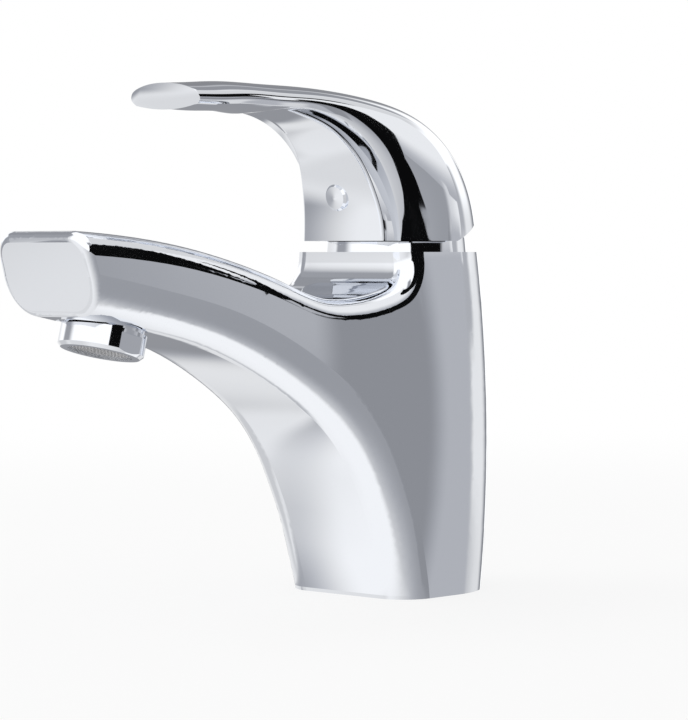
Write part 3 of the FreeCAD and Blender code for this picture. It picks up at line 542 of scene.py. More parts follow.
@dataclass(frozen=True)
class Rubber(Finish):
    """Black moulded sealing rubber with a dusty bloom."""

    colour: Rgb = (0.028, 0.028, 0.030)
    dust: Rgb = (0.075, 0.074, 0.07)
    dust_share: float = 0.6
    bloom_scale: float = 260.0
    bloom_span: Span = (0.45, 0.8)
    roughness: Span = (0.5, 0.75)
    grain_scale: float = 4200.0
    grain_depth: float = 0.00003

    def paint(self, graph: Graph) -> None:
        """Adds the nodes of the rubber.

        Args:
            graph: The material's graph.
        """
        point = graph.place()[3]
        bloom = graph.noise(point, self.bloom_scale, detail=4.0, roughness=0.65)
        grain = graph.noise(point, self.grain_scale)
        clean, dusty = self.roughness
        graph.surface(
            graph.mix(
                bloom.ramp(*self.bloom_span) * self.dust_share,
                opaque(self.colour),
                opaque(self.dust),
            ),
            bloom * (dusty - clean) + clean,
            graph.relief(grain, self.grain_depth, strength=0.6),
            specular=0.4,
        )


@dataclass(frozen=True)
class TurnedMetal(Finish):
    """Machined metal with fine rings left by the turning tool."""

    colour: Rgb = (0.78, 0.60, 0.30)
    roughness: float = 0.24
    pitch: float = 0.28 * MM
    groove_depth: float = 0.012 * MM
    tarnish_shade: float = 0.78
    tarnish_scale: float = 160.0
    tarnish_span: Span = (0.35, 0.75)
    unevenness: float = 0.14

    def paint(self, graph: Graph) -> None:
        """Adds the nodes of the turned surface.

        Args:
            graph: The material's graph.
        """
        x, y, z, point = graph.place()
        from_axis = (x * x + y * y).root()
        turns = ((z + from_axis) * (2 * math.pi / self.pitch)).sine() * 0.5 + 0.5
        tarnish = graph.noise(point, self.tarnish_scale, detail=4.0, roughness=0.6)
        graph.surface(
            graph.mix(
                tarnish.ramp(*self.tarnish_span),
                opaque(self.colour),
                opaque(self.colour, self.tarnish_shade),
            ),
            tarnish * self.unevenness + (self.roughness - self.unevenness / 2),
            graph.relief(turns, self.groove_depth, strength=0.6),
            metallic=1.0,
        )


@dataclass(frozen=True)
class Ceramic(Finish):
    """Lapped alumina, almost mirror-flat, with a faint speckle."""

    colour: Rgb = (0.93, 0.92, 0.88)
    fleck: Rgb = (0.80, 0.78, 0.73)
    speckle_scale: float = 2600.0
    speckle_span: Span = (0.55, 0.75)
    speckle_depth: float = 0.008 * MM
    roughness: Span = (0.14, 0.24)

    def paint(self, graph: Graph) -> None:
        """Adds the nodes of the ceramic.

        Args:
            graph: The material's graph.
        """
        point = graph.place()[3]
        speckle = graph.noise(point, self.speckle_scale, detail=3.0, roughness=0.7)
        smooth, rough = self.roughness
        graph.surface(
            graph.mix(
                speckle.ramp(*self.speckle_span),
                opaque(self.colour),
                opaque(self.fleck),
            ),
            speckle * (rough - smooth) + smooth,
            graph.relief(speckle, self.speckle_depth, strength=0.4),
            specular=0.6,
        )


class Look(Enum):
    """Every finish of the tap."""

    CASTING = PlatedCasting("plated_casting")
    CHROME = ChromePlate("chrome_plate")
    WHITE_PLASTIC = Moulded("white_acetal")
    GREY_PLASTIC = Moulded("grey_acetal", colour=(0.34, 0.35, 0.37), roughness=0.38)
    RUBBER = Rubber("sealing_rubber")
    BRASS = TurnedMetal("turned_brass")
    STEEL = TurnedMetal("ground_steel", colour=(0.62, 0.62, 0.63), roughness=0.26)
    CERAMIC = Ceramic("lapped_ceramic")


WORN_BY = {
    Look.CASTING: ("tap_body",),
    Look.CHROME: ("cap_ring", "handle", "index_plug", "aerator_housing"),
    Look.WHITE_PLASTIC: (
        "cartridge_base",
        "cartridge_housing",
        "aerator_insert",
        "aerator_strainer",
    ),
    Look.GREY_PLASTIC: ("disc_carrier", "stem_guide", "limiter_ring"),
    Look.RUBBER: (
        "base_gasket",
        "seat_seals",
        "disc_seals",
        "guide_ring",
        "aerator_seal",
    ),
    Look.BRASS: ("lever_stem", "cartridge_nut"),
    Look.STEEL: ("pivot_pin", "set_screw", "aerator_mesh"),
    Look.CERAMIC: ("ceramic_disc_fixed", "ceramic_disc_moving"),
}


def dress(piece: bpy.types.Object, look: Look) -> None:
    """Puts a finish on a piece.

    Args:
        piece: The object.
        look: Its finish.
    """
    material = look.value.material()
    for place in piece.material_slots:
        place.material = material
    if not piece.material_slots:
        piece.data.materials.append(material)


def dress_frame() -> None:
    """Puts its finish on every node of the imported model."""
    for look, names in WORN_BY.items():
        for name in names:
            dress(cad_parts[name], look)
            LOG.info("dressed %s in %s", name, look.value.name)


def new_object(name: str, data: bpy.types.ID) -> bpy.types.Object:
    """Puts a new object in the scene.

    Args:
        name: Its name.
        data: Its mesh, lamp or camera.

    Returns:
        The object.
    """
    made = bpy.data.objects.new(name, data)
    bpy.context.collection.objects.link(made)
    return made


@dataclass
class WovenScreen:
    """The wire cloth in the aerator's mouth: two crossing sets of crimped wires."""

    centre: Point = (0.0, -115.1 * MM, 70.7 * MM)
    tilt: float = math.radians(14.5)
    radius: float = 9.2 * MM
    pitch: float = 0.62 * MM
    wire: float = 0.13 * MM
    # How far a wire swings from the middle, as a share of its thickness.
    crimp: float = 0.55
    steps_per_pitch: int = 4
    fewest_steps: int = 2
    sides: int = 6

    def build(self) -> bpy.types.Object:
        """Weaves the screen and puts it in place of the plain disc.

        Returns:
            The screen.
        """
        mesh = bpy.data.meshes.new("woven_screen")
        work = bmesh.new()
        count = int(self.radius / self.pitch)
        for across in (False, True):
            for index in range(-count, count + 1):
                self._wire(work, index, across)
        work.to_mesh(mesh)
        work.free()
        mesh.shade_smooth()
        turn = Matrix.Rotation(-self.tilt, 4, "X")
        mesh.transform(Matrix.Translation(self.centre) @ turn)
        screen = new_object("woven_screen", mesh)
        dress(screen, Look.STEEL)
        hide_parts("aerator_mesh")
        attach(screen, Body.TAP.value)
        return screen

    def _wire(self, work: bmesh.types.BMesh, index: int, across: bool) -> None:
        """Adds one crimped wire.

        Args:
            work: The mesh under construction.
            index: Which wire, counted from the middle.
            across: Whether it belongs to the crossing set.
        """
        offset = index * self.pitch
        half = math.sqrt(max(self.radius**2 - offset**2, 0.0))
        steps = max(
            self.fewest_steps, int(2 * half / self.pitch * self.steps_per_pitch)
        )
        rings = []
        for step in range(steps + 1):
            along = -half + 2 * half * step / steps
            phase = math.pi * (along / self.pitch + index + (1 if across else 0))
            lift = math.cos(phase) * self.wire * self.crimp
            ring = []
            for side in range(self.sides):
                turn = 2 * math.pi * side / self.sides
                out = offset + self.wire / 2 * math.cos(turn)
                height = lift + self.wire / 2 * math.sin(turn)
                spot = (out, along, height) if across else (along, out, height)
                ring.append(work.verts.new(spot))
            rings.append(ring)
        for first, second in zip(rings, rings[1:]):
            for side in range(self.sides):
                after = (side + 1) % self.sides
                work.faces.new((first[side], first[after], second[after], second[side]))
        work.faces.new(reversed(rings[0]))
        work.faces.new(rings[-1])


@dataclass(frozen=True)
class Station:
    """Half of the handle's outline in one plane of a fan, in millimetres.

    The planes fan out about a line across the lever, and angle is a plane's
    slope in degrees. A spot is half the width there and the distance from that
    line; the ridge has its distance alone.
    """

    angle: float
    ridge: float
    widest: Span
    side: Span
    lip: Span
    inner: Span

    def numbers(self) -> list[float]:
        """Returns the station's sizes in one row."""
        return [self.ridge, *self.widest, *self.side, *self.lip, *self.inner]


def spline(knots: np.ndarray, values: np.ndarray, at: np.ndarray) -> np.ndarray:
    """Runs a natural cubic spline through rows of values.

    Args:
        knots: Where each row is met, rising.
        values: One row of numbers for each knot.
        at: Where the curve is wanted.

    Returns:
        One row of numbers for each place in at.
    """
    widths = np.diff(knots)
    slopes = np.diff(values, axis=0) / widths[:, None]
    count = len(knots)
    system = np.eye(count)
    pull = np.zeros(values.shape)
    for row in range(1, count - 1):
        before, after = widths[row - 1], widths[row]
        system[row, row - 1 : row + 2] = (before, 2 * (before + after), after)
        pull[row] = 6 * (slopes[row] - slopes[row - 1])
    bend = np.linalg.solve(system, pull)
    cell = np.clip(np.searchsorted(knots, at, side="right") - 1, 0, count - 2)
    width = widths[cell][:, None]
    ahead = (knots[cell + 1] - at)[:, None]
    behind = (at - knots[cell])[:, None]
    arc = (bend[cell] * ahead**3 + bend[cell + 1] * behind**3) / (6 * width)
    start = (values[cell] / width - bend[cell] * width / 6) * ahead
    end = (values[cell + 1] / width - bend[cell + 1] * width / 6) * behind
    return arc + start + end


def soften(values: np.ndarray, spread: float) -> np.ndarray:
    """Evens out rows of values with a bell-shaped window.

    Args:
        values: The rows; both ends stay where they are.
        spread: The window's spread, in rows.

    Returns:
        The evened rows.
    """
    reach = int(3 * spread)
    head = 2 * values[0] - values[reach:0:-1]
    tail = 2 * values[-1] - values[-2 : -reach - 2 : -1]
    long = np.concatenate([head, values, tail])
    offsets = np.arange(-reach, reach + 1)
    weights = np.exp(-0.5 * (offsets / spread) ** 2)
    weights /= weights.sum()
    return sum(
        weight * long[reach + offset : reach + offset + len(values)]
        for weight, offset in zip(weights, offsets)
    )


def skin(work: bmesh.types.BMesh, rows: list[list[Point]], closed: bool) -> None:
    """Joins rows of points with faces.

    Args:
        work: The mesh under construction.
        rows: Points of each row, as many in each, in metres.
        closed: Whether each row is a ring.
    """
    grid = [[work.verts.new(spot) for spot in row] for row in rows]
    for first, second in zip(grid, grid[1:]):
        last = len(first) if closed else len(first) - 1
        for index in range(last):
            after = (index + 1) % len(first)
            work.faces.new((first[index], first[after], second[after], second[index]))


@dataclass
class HandleShell:
    """The cast handle: crowned shell, rolled lips, neck and hollow hub."""

    stations: tuple[Station, ...] = (
        Station(0.0, 82.8, (22.8, 60.0), (20.3, 49.6), (17.5, 44.8), (16.3, 43.0)),
        Station(10.4, 81.0, (22.6, 59.2), (20.3, 49.8), (17.9, 45.0), (16.1, 42.8)),
        Station(20.0, 76.6, (21.9, 57.4), (20.2, 49.2), (18.2, 45.0), (15.8, 42.4)),
        Station(30.7, 69.0, (20.1, 54.0), (19.4, 47.8), (18.1, 44.7), (15.4, 41.9)),
        Station(42.6, 58.4, (18.0, 48.6), (17.8, 45.4), (17.2, 43.4), (15.0, 40.9)),
        Station(56.0, 49.8, (16.6, 43.2), (16.6, 42.1), (16.2, 41.0), (14.6, 39.2)),
        Station(74.0, 43.8, (15.2, 38.9), (15.2, 38.5), (14.9, 38.0), (13.9, 36.8)),
        Station(95.0, 42.4, (14.5, 37.7), (14.5, 37.4), (14.2, 36.9), (13.3, 35.8)),
        Station(114.0, 46.1, (13.7, 41.3), (13.7, 40.9), (13.4, 40.4), (12.6, 39.3)),
        Station(126.0, 50.9, (13.1, 45.9), (13.1, 45.4), (12.8, 44.8), (12.0, 43.8)),
        Station(137.0, 58.8, (12.2, 53.8), (12.2, 53.3), (11.9, 52.6), (11.1, 51.5)),
    )
    fan_y: float = -60.0
    fan_z: float = 98.8
    # The crown's points are this many degrees apart. They go on past the ridge,
    # so that the curve through them runs level over it.
    crown_step: float = 22.5
    # The underside sags fully from the second of these degrees on.
    belly: float = 1.7
    belly_span: Span = (72.0, 98.0)
    # The stations are evened out over this many degrees.
    evened_over: float = 4.0
    # The neck's front seen from the side, then its half width at each height.
    neck_front: tuple[Span, ...] = (
        (-23.6, 96.9),
        (-23.7, 103.9),
        (-25.6, 112.4),
        (-29.1, 120.7),
        (-33.8, 126.2),
        (-40.3, 130.4),
        (-49.3, 133.1),
        (-59.3, 135.1),
    )
    neck_width: tuple[Span, ...] = (
        (96.9, 15.3),
        (103.9, 14.9),
        (112.4, 13.6),
        (120.7, 11.8),
        (126.2, 10.3),
        (130.4, 9.2),
        (133.1, 8.2),
        (137.4, 7.4),
    )
    # How far the neck's side walls go back, at its foot and at its top.
    neck_depth: Span = (11.0, 3.5)
    neck_corner: float = 0.9
    # The face's middle stands proud of a place neck_half aside by the crown.
    neck_crown: float = 0.7
    neck_half: float = 15.0
    bottom: float = 98.9
    bottom_slope: float = math.radians(21.7)
    tip: Span = (-92.7, 137.5)
    tip_tilt: float = math.radians(22.0)
    hollow_radius: float = 20.9
    hollow_top: float = 105.4
    upper_radius: float = 18.0
    upper_shift: float = -1.0
    upper_top: float = 108.0
    hollow_margin: float = 0.1
    edge_round: float = 0.3
    rounded_from: float = math.radians(38)
    sharp_from: float = math.radians(32)
    # Numbers of rows and points.
    rows: int = 180
    half_columns: int = 56
    under_steps: int = 12
    neck_rows: int = 90
    neck_evened_over: float = 3.0
    neck_steps: int = 6
    face_steps: int = 16
    ring: int = 128

    def build(self) -> bpy.types.Object:
        """Builds the handle in place of its plain solid.

        Returns:
            The handle.
        """
        work = bmesh.new()
        self._shell(work)
        self._trim(work)
        self._round_edges(work)
        neck = bmesh.new()
        self._neck(neck)
        self._trim(neck)
        self._add(work, neck)
        outside = BVHTree.FromBMesh(work)
        self._clear(work)
        hollow = bmesh.new()
        self._hollow(hollow)
        self._trim(hollow)
        self._add(work, hollow)
        self._rim(work, outside)
        mesh = bpy.data.meshes.new("handle_shell")
        work.to_mesh(mesh)
        work.free()
        mesh.shade_smooth()
        mesh.set_sharp_from_angle(angle=self.sharp_from)
        handle = new_object("handle_shell", mesh)
        dress(handle, Look.CHROME)
        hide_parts("handle")
        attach(handle, Body.LEVER.value)
        return handle

    def _add(self, work: bmesh.types.BMesh, part: bmesh.types.BMesh) -> None:
        """Adds one mesh to another and frees it.

        Args:
            work: The mesh that grows.
            part: The mesh that is added.
        """
        carrier = bpy.data.meshes.new("carrier")
        part.to_mesh(carrier)
        part.free()
        work.from_mesh(carrier)
        bpy.data.meshes.remove(carrier)

    def _outline(self, sizes: np.ndarray) -> np.ndarray:
        """Draws half of the shell's outline at one station.

        Args:
            sizes: The station's row of numbers.

        Returns:
            Half width and distance of each point, from the inner edge to the
            ridge.
        """
        ridge = sizes[0]
        widest, side, lip, inner = sizes[1:].reshape(4, 2)
        turns = np.radians(np.arange(self.crown_step, 180.0, self.crown_step))
        rise = (ridge - widest[1]) * np.sin(turns)
        crown = np.stack([widest[0] * np.cos(turns), widest[1] + rise], axis=1)
        spots = np.concatenate([[inner, lip, side, widest], crown])
        steps = np.hypot(*np.diff(spots, axis=0).T)
        along = np.concatenate([[0.0], np.cumsum(steps)])
        past_ridge = len(turns) // 2
        ridge_at = along[-1 - past_ridge]
        return spline(along, spots, np.linspace(0, ridge_at, self.half_columns + 1))

    def _place(self, angle: float, across: float, out: float) -> Point:
        """Turns a spot in one plane of the fan into a point.

        Args:
            angle: The plane's slope, in radians.
            across: The spot's distance from the middle plane.
            out: Its distance from the fan's line.

        Returns:
            The point, in metres.
        """
        y = self.fan_y + out * math.cos(angle)
        z = self.fan_z + out * math.sin(angle)
        return (across * MM, y * MM, z * MM)

    def _shell(self, work: bmesh.types.BMesh) -> None:
        """Adds crown, sides, lips and underside.

        Args:
            work: The mesh under construction.
        """
        knots = np.array([station.angle for station in self.stations])
        table = np.array([station.numbers() for station in self.stations])
        angles = np.linspace(knots[0], knots[-1], self.rows + 1)
        spread = self.rows * self.evened_over / knots[-1]
        sizes = soften(spline(knots, table, angles), spread)
        rows = []
        for degrees, row in zip(angles, sizes):
            half = self._outline(row)
            angle = math.radians(degrees)
            right = [self._place(angle, x, out) for x, out in half]
            left = [self._place(angle, -x, out) for x, out in half[-2::-1]]
            inner_x, inner_out = half[0]
            belly = self.belly * float(np.interp(degrees, self.belly_span, (0, 1)))
            under = []
            for step in range(1, self.under_steps):
                share = 2 * step / self.under_steps - 1
                sunk = inner_out - belly * (1 - share * share)
                under.append(self._place(angle, inner_x * share, sunk))
            rows.append(right + left + under)
        skin(work, rows, True)

    def _neck(self, work: bmesh.types.BMesh) -> None:
        """Adds the neck's crowned front, rounded corners and side walls.

        Args:
            work: The mesh under construction.
        """
        front = np.array(self.neck_front)
        steps = np.hypot(*np.diff(front, axis=0).T)
        along = np.concatenate([[0.0], np.cumsum(steps)])
        spots = spline(along, front, np.linspace(0, along[-1], self.neck_rows + 1))
        spots = soften(spots, self.neck_evened_over)
        ways = np.gradient(spots, axis=0)
        ways /= np.hypot(*ways.T)[:, None]
        foot, top = self.neck_depth
        rows = []
        for index, (spot, way) in enumerate(zip(spots, ways)):
            depth = foot + (top - foot) * index / self.neck_rows
            inward = np.array([way[1], -way[0]])
            rows.append(self._neck_row(spot, inward, self._neck_side(depth)))
        skin(work, rows, False)

    def _neck_side(self, depth: float) -> list[Span]:
        """Draws the neck's side wall and its rounded corner.

        Args:
            depth: How far the wall goes back from the face.

        Returns:
            Inset from the wall and depth behind the face of each point.
        """
        corner, steps = self.neck_corner, self.neck_steps
        wall = [(0.0, depth - (depth - corner) * step / steps) for step in range(steps)]
        turns = [math.radians(90 * step / (steps - 1)) for step in range(steps)]
        bend = [
            (corner * (1 - math.cos(turn)), corner * (1 - math.sin(turn)))
            for turn in turns
        ]
        return wall + bend

    def _neck_half_width(self, height: float) -> float:
        """Works out how wide the neck is.

        Args:
            height: The height above the deck.

        Returns:
            Half the neck's width there.
        """
        table = np.array(self.neck_width)
        clipped = np.clip(np.array([height]), table[0, 0], table[-1, 0])
        return float(spline(table[:, 0], table[:, 1:], clipped)[0, 0])

    def _neck_row(
        self, spot: np.ndarray, inward: np.ndarray, half: list[Span]
    ) -> list[Point]:
        """Draws the neck's outline at one place along its front.

        Args:
            spot: Y and Z of the front's middle.
            inward: Direction into the handle, in Y and Z.
            half: Inset from the side wall and depth behind the front of each
                point of one side.

        Returns:
            The outline's points, from the right wall round to the left.
        """
        side = []
        for inset, deep in half:
            height = (spot + inward * deep)[1]
            side.append((self._neck_half_width(height) - inset, deep))
        flat = self._neck_half_width(spot[1]) - self.neck_corner
        steps = self.face_steps
        face = [(flat * (1 - 2 * step / steps), 0.0) for step in range(steps + 1)]
        points = side + face + [(-x, deep) for x, deep in reversed(side)]
        row = []
        for x, deep in points:
            sag = self.neck_crown * (x / self.neck_half) ** 2
            y, z = spot + inward * (deep + sag)
            row.append((x * MM, y * MM, z * MM))
        return row

    def _trim(self, work: bmesh.types.BMesh) -> None:
        """Cuts off what lies under the hub or beyond the tip.

        Args:
            work: The mesh under construction.
        """
        slope, tilt = self.bottom_slope, self.tip_tilt
        cuts = (
            ((0, 0, self.bottom), (0, 0, -1)),
            ((0, 0, self.bottom), (0, math.sin(slope), -math.cos(slope))),
            ((0, *self.tip), (0, -math.cos(tilt), -math.sin(tilt))),
        )
        for spot, away in cuts:
            geometry = work.verts[:] + work.edges[:] + work.faces[:]
            bmesh.ops.bisect_plane(
                work,
                geom=geometry,
                dist=TOUCHING,
                plane_co=Vector(spot) * MM,
                plane_no=Vector(away),
                clear_outer=True,
            )

    def _round_edges(self, work: bmesh.types.BMesh) -> None:
        """Closes the tip with its flat face and rounds the shell's edges.

        Args:
            work: The mesh under construction.
        """
        middle = Vector((0, *self.tip)) * MM
        away = Vector((0, -math.cos(self.tip_tilt), -math.sin(self.tip_tilt)))
        rim = [
            edge
            for edge in work.edges
            if edge.is_boundary
            and all(abs((vert.co - middle).dot(away)) < ON_PLANE for vert in edge.verts)
        ]
        bmesh.ops.holes_fill(work, edges=rim, sides=0)
        bmesh.ops.recalc_face_normals(work, faces=work.faces[:])
        sharp = [
            edge
            for edge in work.edges
            if len(edge.link_faces) == 2
            and edge.calc_face_angle(0.0) > self.rounded_from
        ]
        bmesh.ops.bevel(
            work,
            geom=sharp,
            offset=self.edge_round * MM,
            segments=3,
            profile=0.5,
            affect="EDGES",
            clamp_overlap=True,
        )

    def _circle(self, radius: float, shift: float, height: float) -> list[Point]:
        """Draws a level circle, from its front towards the cold side.

        Args:
            radius: Its radius.
            shift: Its middle's Y.
            height: Its height.

        Returns:
            Its points, in metres.
        """
        ring = []
        for step in range(self.ring):
            turn = 2 * math.pi * step / self.ring
            x, y = radius * math.sin(turn), shift - radius * math.cos(turn)
            ring.append((x * MM, y * MM, height * MM))
        return ring

    def _hollow(self, work: bmesh.types.BMesh) -> None:
        """Adds the stepped hollow that covers the cartridge's head.

        Args:
            work: The mesh under construction.
        """
        below = self.bottom - 1.0
        pinhole = 0.5
        circles = (
            (self.hollow_radius, 0.0, below),
            (self.hollow_radius, 0.0, self.hollow_top),
            (self.upper_radius, self.upper_shift, self.hollow_top),
            (self.upper_radius, self.upper_shift, self.upper_top),
            (pinhole, self.upper_shift, self.upper_top),
        )
        skin(work, [self._circle(*circle) for circle in circles], True)

    def _clear(self, work: bmesh.types.BMesh) -> None:
        """Takes those faces of shell and neck away that lie in the hollow.

        Args:
            work: The mesh under construction.
        """
        steps = (
            (self.hollow_radius, 0.0, self.hollow_top),
            (self.upper_radius, self.upper_shift, self.upper_top),
        )
        inside = [
            vert
            for vert in work.verts
            if any(
                math.hypot(vert.co.x, vert.co.y - shift * MM)
                < (radius - self.hollow_margin) * MM
                and vert.co.z < top * MM
                for radius, shift, top in steps
            )
        ]
        bmesh.ops.delete(work, geom=inside, context="VERTS")

    def _rim(self, work: bmesh.types.BMesh, outside: BVHTree) -> None:
        """Adds the narrow face round the hub's mouth.

        Args:
            work: The mesh under construction.
            outside: The outer skin, which the face reaches to.
        """
        axis = Vector((0, 0, self.bottom)) * MM
        above_cut = Vector((0, 0, 0.02)) * MM
        far_out = 60.0 * MM
        outer, inner = [], []
        for step in range(self.ring):
            turn = 2 * math.pi * step / self.ring
            level = Vector((math.sin(turn), -math.cos(turn), 0))
            rise = max(level.y, 0.0) * math.tan(self.bottom_slope)
            ray = level + Vector((0, 0, rise))
            start = axis + above_cut + ray * far_out
            hit = outside.ray_cast(start, -ray.normalized())[0]
            mouth = axis + ray * self.hollow_radius * MM
            outer.append(tuple(mouth if hit is None else hit))
            inner.append(tuple(mouth))
        skin(work, [outer, inner], True)


@dataclass(frozen=True)
class Area:
    """Part of the surroundings with a brightness of its own.

    Each edge is a pair of degrees: where the area starts to show, and where it
    is at its full level. Bearings are 0 in front of the spout and 90 on the
    cold side; heights are above the horizon. The left edge may lean: its
    bearing grows by lean for each degree of height.
    """

    left: Span
    right: Span
    bottom: Span
    top: Span
    level: float
    lean: float = 0.0

    def cover(self, bearing: Value, height: Value) -> Value:
        """Works out how much of this area a direction sees.

        Args:
            bearing: The direction's bearing, in degrees.
            height: Its height, in degrees.

        Returns:
            1 inside the area and 0 outside it.
        """
        middle = (self.left[1] + self.right[1]) / 2
        off = (bearing - middle).wrapped(180.0)
        start = off - height * self.lean if self.lean else off
        shown = start.ramp(self.left[0] - middle, self.left[1] - middle)
        shown = shown * off.ramp(self.right[0] - middle, self.right[1] - middle)
        return shown * height.ramp(*self.bottom) * height.ramp(*self.top)


def oblong(left: float, right: float, bottom: float, top: float) -> tuple[Span, ...]:
    """Returns the outline of an oblong, from its lower left corner round."""
    return ((left, bottom), (right, bottom), (right, top), (left, top))


@dataclass(frozen=True)
class Card:
    """A glowing sheet near the tap, which only the chrome mirrors.

    Lengths are in millimetres. The card's middle is at centre, its face is
    turned towards the point faces, and then it is turned in its own plane by
    turn degrees. Its outline lies in that plane, about the middle. Between the
    two places in change its level goes from the first of levels to the second,
    and its left, right, lower and upper rims fade out.
    """

    name: str
    centre: Point
    faces: Point
    outline: tuple[Span, ...]
    levels: Span
    change: Span = (0.0, 1.0)
    turn: float = 0.0
    rims: tuple[float, float, float, float] = (0.0, 0.0, 0.0, 0.0)

    def level(self, x: Value) -> Value:
        """Works out how bright the card is.

        Args:
            x: The place across it, in metres.

        Returns:
            The level that the plating shows there.
        """
        first, last = self.levels
        start, end = (place * MM for place in self.change)
        return x.ramp(start, end) * (last - first) + first

    def cover(self, x: Value, y: Value) -> Value:
        """Works out how solid the card is.

        Args:
            x: The place across it, in metres.
            y: The place up it, in metres.

        Returns:
            1 in the middle and 0 at the faded rims.
        """
        left, bottom = (min(spot[axis] for spot in self.outline) for axis in (0, 1))
        right, top = (max(spot[axis] for spot in self.outline) for axis in (0, 1))
        shown = x.ramp(left * MM, (left + self.rims[0]) * MM)
        shown = shown * x.ramp(right * MM, (right - self.rims[1]) * MM)
        shown = shown * y.ramp(bottom * MM, (bottom + self.rims[2]) * MM)
        return shown * y.ramp(top * MM, (top - self.rims[3]) * MM)

    def place(self) -> Matrix:
        """Works out where the card stands.

        Returns:
            Its place and turn, in metres.
        """
        centre = Vector(self.centre) * MM
        aim = Vector(self.faces) * MM - centre
        spin = Matrix.Rotation(math.radians(self.turn), 4, "Z")
        facing = aim.to_track_quat("Z", "Y").to_matrix().to_4x4()
        return Matrix.Translation(centre) @ facing @ spin


@dataclass
class Studio:
    """Pale floor, soft light, and the surroundings that the chrome mirrors.

    A reflection's level is what the plating shows, so the surroundings are
    brighter by what the plating takes away.
    """

    plating: float = 0.88
    dim_tint: Rgb = (0.965, 0.985, 1.05)
    tint_span: Span = (0.8, 0.3)

    floor_half: float = 6.0
    floor_level: float = 0.90
    floor_glow: float = 0.80
    shadow_reach: Span = (0.22, 0.75)

    lamp_power: float = 3.0
    lamp_size: float = 0.9
    lamp_place: Point = (-0.7, -0.6, 1.1)
    lamp_aim: Point = (0.0, -0.05, 0.05)

    ambient: float = 0.80
    bench: float = 0.775
    bench_fall: float = 0.075
    ceiling: float = 1.02
    horizon: Span = (3.0, 9.0)

    cards: tuple[Card, ...] = (
        # white bounce beside the handle, seen above the black card
        Card(
            "bounce_card",
            centre=(66, 28, 141),
            faces=(18, 0, 122),
            outline=oblong(-26, 46, -39, 39),
            levels=(0.42, 0.82),
            change=(-26, 0),
            turn=90,
        ),
        # black card beside the handle, with a strip along the body's rim
        Card(
            "black_card",
            centre=(65, 0, 0),
            faces=(0, 0, 0),
            outline=(
                # the strip, from its end towards the spout
                *((47, 103), (37, 88), (23.5, 95), (18, 96.5), (-8, 96.5)),
                *((-8, 100.3), (10, 100.8), (4.5, 103)),
                # the edge beside the handle's bright band
                *((5, 107), (7, 114.5), (2, 126), (-2, 133), (-6, 145), (-6, 160)),
                # the edge towards the tip
                *((8, 160), (14, 130), (22, 112), (32, 103)),
            ),
            levels=(0.003, 0.003),
        ),
        # grey card behind the black one
        Card(
            "grey_card",
            centre=(68, 20, 104),
            faces=(0, 20, 104),
            outline=oblong(-60, -3, -3, 18),
            levels=(0.80, 0.62),
            change=(-50, -5),
            rims=(3, 12, 3, 3),
        ),
        # graded paper on the floor before the column
        Card(
            "floor_paper",
            centre=(-28.7, -43.7, 1),
            faces=(-28.7, -43.7, 9),
            outline=oblong(-16, 75, -35, 56),
            levels=(0.36, 0.90),
            change=(-9, 9),
            turn=130,
            rims=(8, 13, 60, 13),
        ),
        # graded screen beside the column
        Card(
            "side_screen",
            centre=(71.7, 27.5, 38),
            faces=(20.9, -21.6, 38),
            outline=((-32, -60), (32, -60), (32, 55), (2, 55), (2, 72), (-32, 72)),
            levels=(0.44, 0.27),
            change=(-7.5, -0.5),
            rims=(9, 9, 9, 9),
        ),
    )
    below: tuple[Area, ...] = (
        # painted shadow of the tap on the bench, on the cold side
        Area((-15, 118), (176, 124), (-92, -36), (91, 90), 0.32),
        # dimmer bench in front, on the hot side
        Area((-80, -60), (-5, -25), (-62, -50), (-16, -30), 0.69),
        # bench behind the tap
        Area((150, 158), (188, 178), (-10, -5), (91, 90), 0.77),
        # dim corner on the hot side
        Area((-124, -112), (-70, -84), (-44, -38), (-14, -22), 0.58),
    )
    above: tuple[Area, ...] = (
        # ceiling between the lights, brighter behind the tap
        Area((-178, -170), (-60, -66), (26, 33), (54, 47), 0.29),
        Area((70, 80), (132, 126), (38, 42), (54, 47), 0.29),
        Area((130, 140), (188, 180), (26, 33), (58, 50), 0.66),
        # gap between two lights on the hot side
        Area((-80, -70), (-36, -56), (-24, -17), (56, 50), 0.33),
        # edge of the backdrop, then the window beside it
        Area((183, 199), (204.5, 203), (-16, -8), (14, 8), 0.22),
        Area((203, 204.5), (250, 230), (-14, -7), (28, 20), 1.0),
        # wall straight behind the tap, seen along its outlines
        Area((206, 216), (238, 230), (2, 7), (34, 24), 0.24),
        Area((212, 218), (236, 230), (-34, -24), (-1, -5), 0.28),
        # low edge of the backdrop on the cold side
        Area((126, 132), (168, 158), (0, 3), (17, 15), 0.42),
        # black flag with a leaning edge, and its far end
        Area((55, 56.5), (135.5, 134.3), (5.0, 6.0), (39.8, 38.6), 0.003, 0.88),
        Area((133.5, 134.5), (153, 150), (14.0, 15.5), (39.8, 38.6), 0.003),
    )

    def build(self) -> None:
        """Makes the floor, the world, the cards and the lamp."""
        self._floor()
        self._world()
        for card in self.cards:
            self._hold(card)
        self._lamp()
        view = bpy.context.scene.view_settings
        view.view_transform = "Standard"

    def _sheet(
        self, name: str, spots: list[Point], paint: str
    ) -> tuple[bpy.types.Object, Graph]:
        """Makes a flat sheet with a material that is still empty.

        Args:
            name: The sheet's name.
            spots: The corners of its outline, in metres.
            paint: The material's name.

        Returns:
            The sheet, and its material's graph.
        """
        mesh = bpy.data.meshes.new(name)
        mesh.from_pydata(spots, [], [tuple(range(len(spots)))])
        material = bpy.data.materials.new(paint)
        material.use_nodes = True
        mesh.materials.append(material)
        return new_object(name, mesh), Graph(material.node_tree)

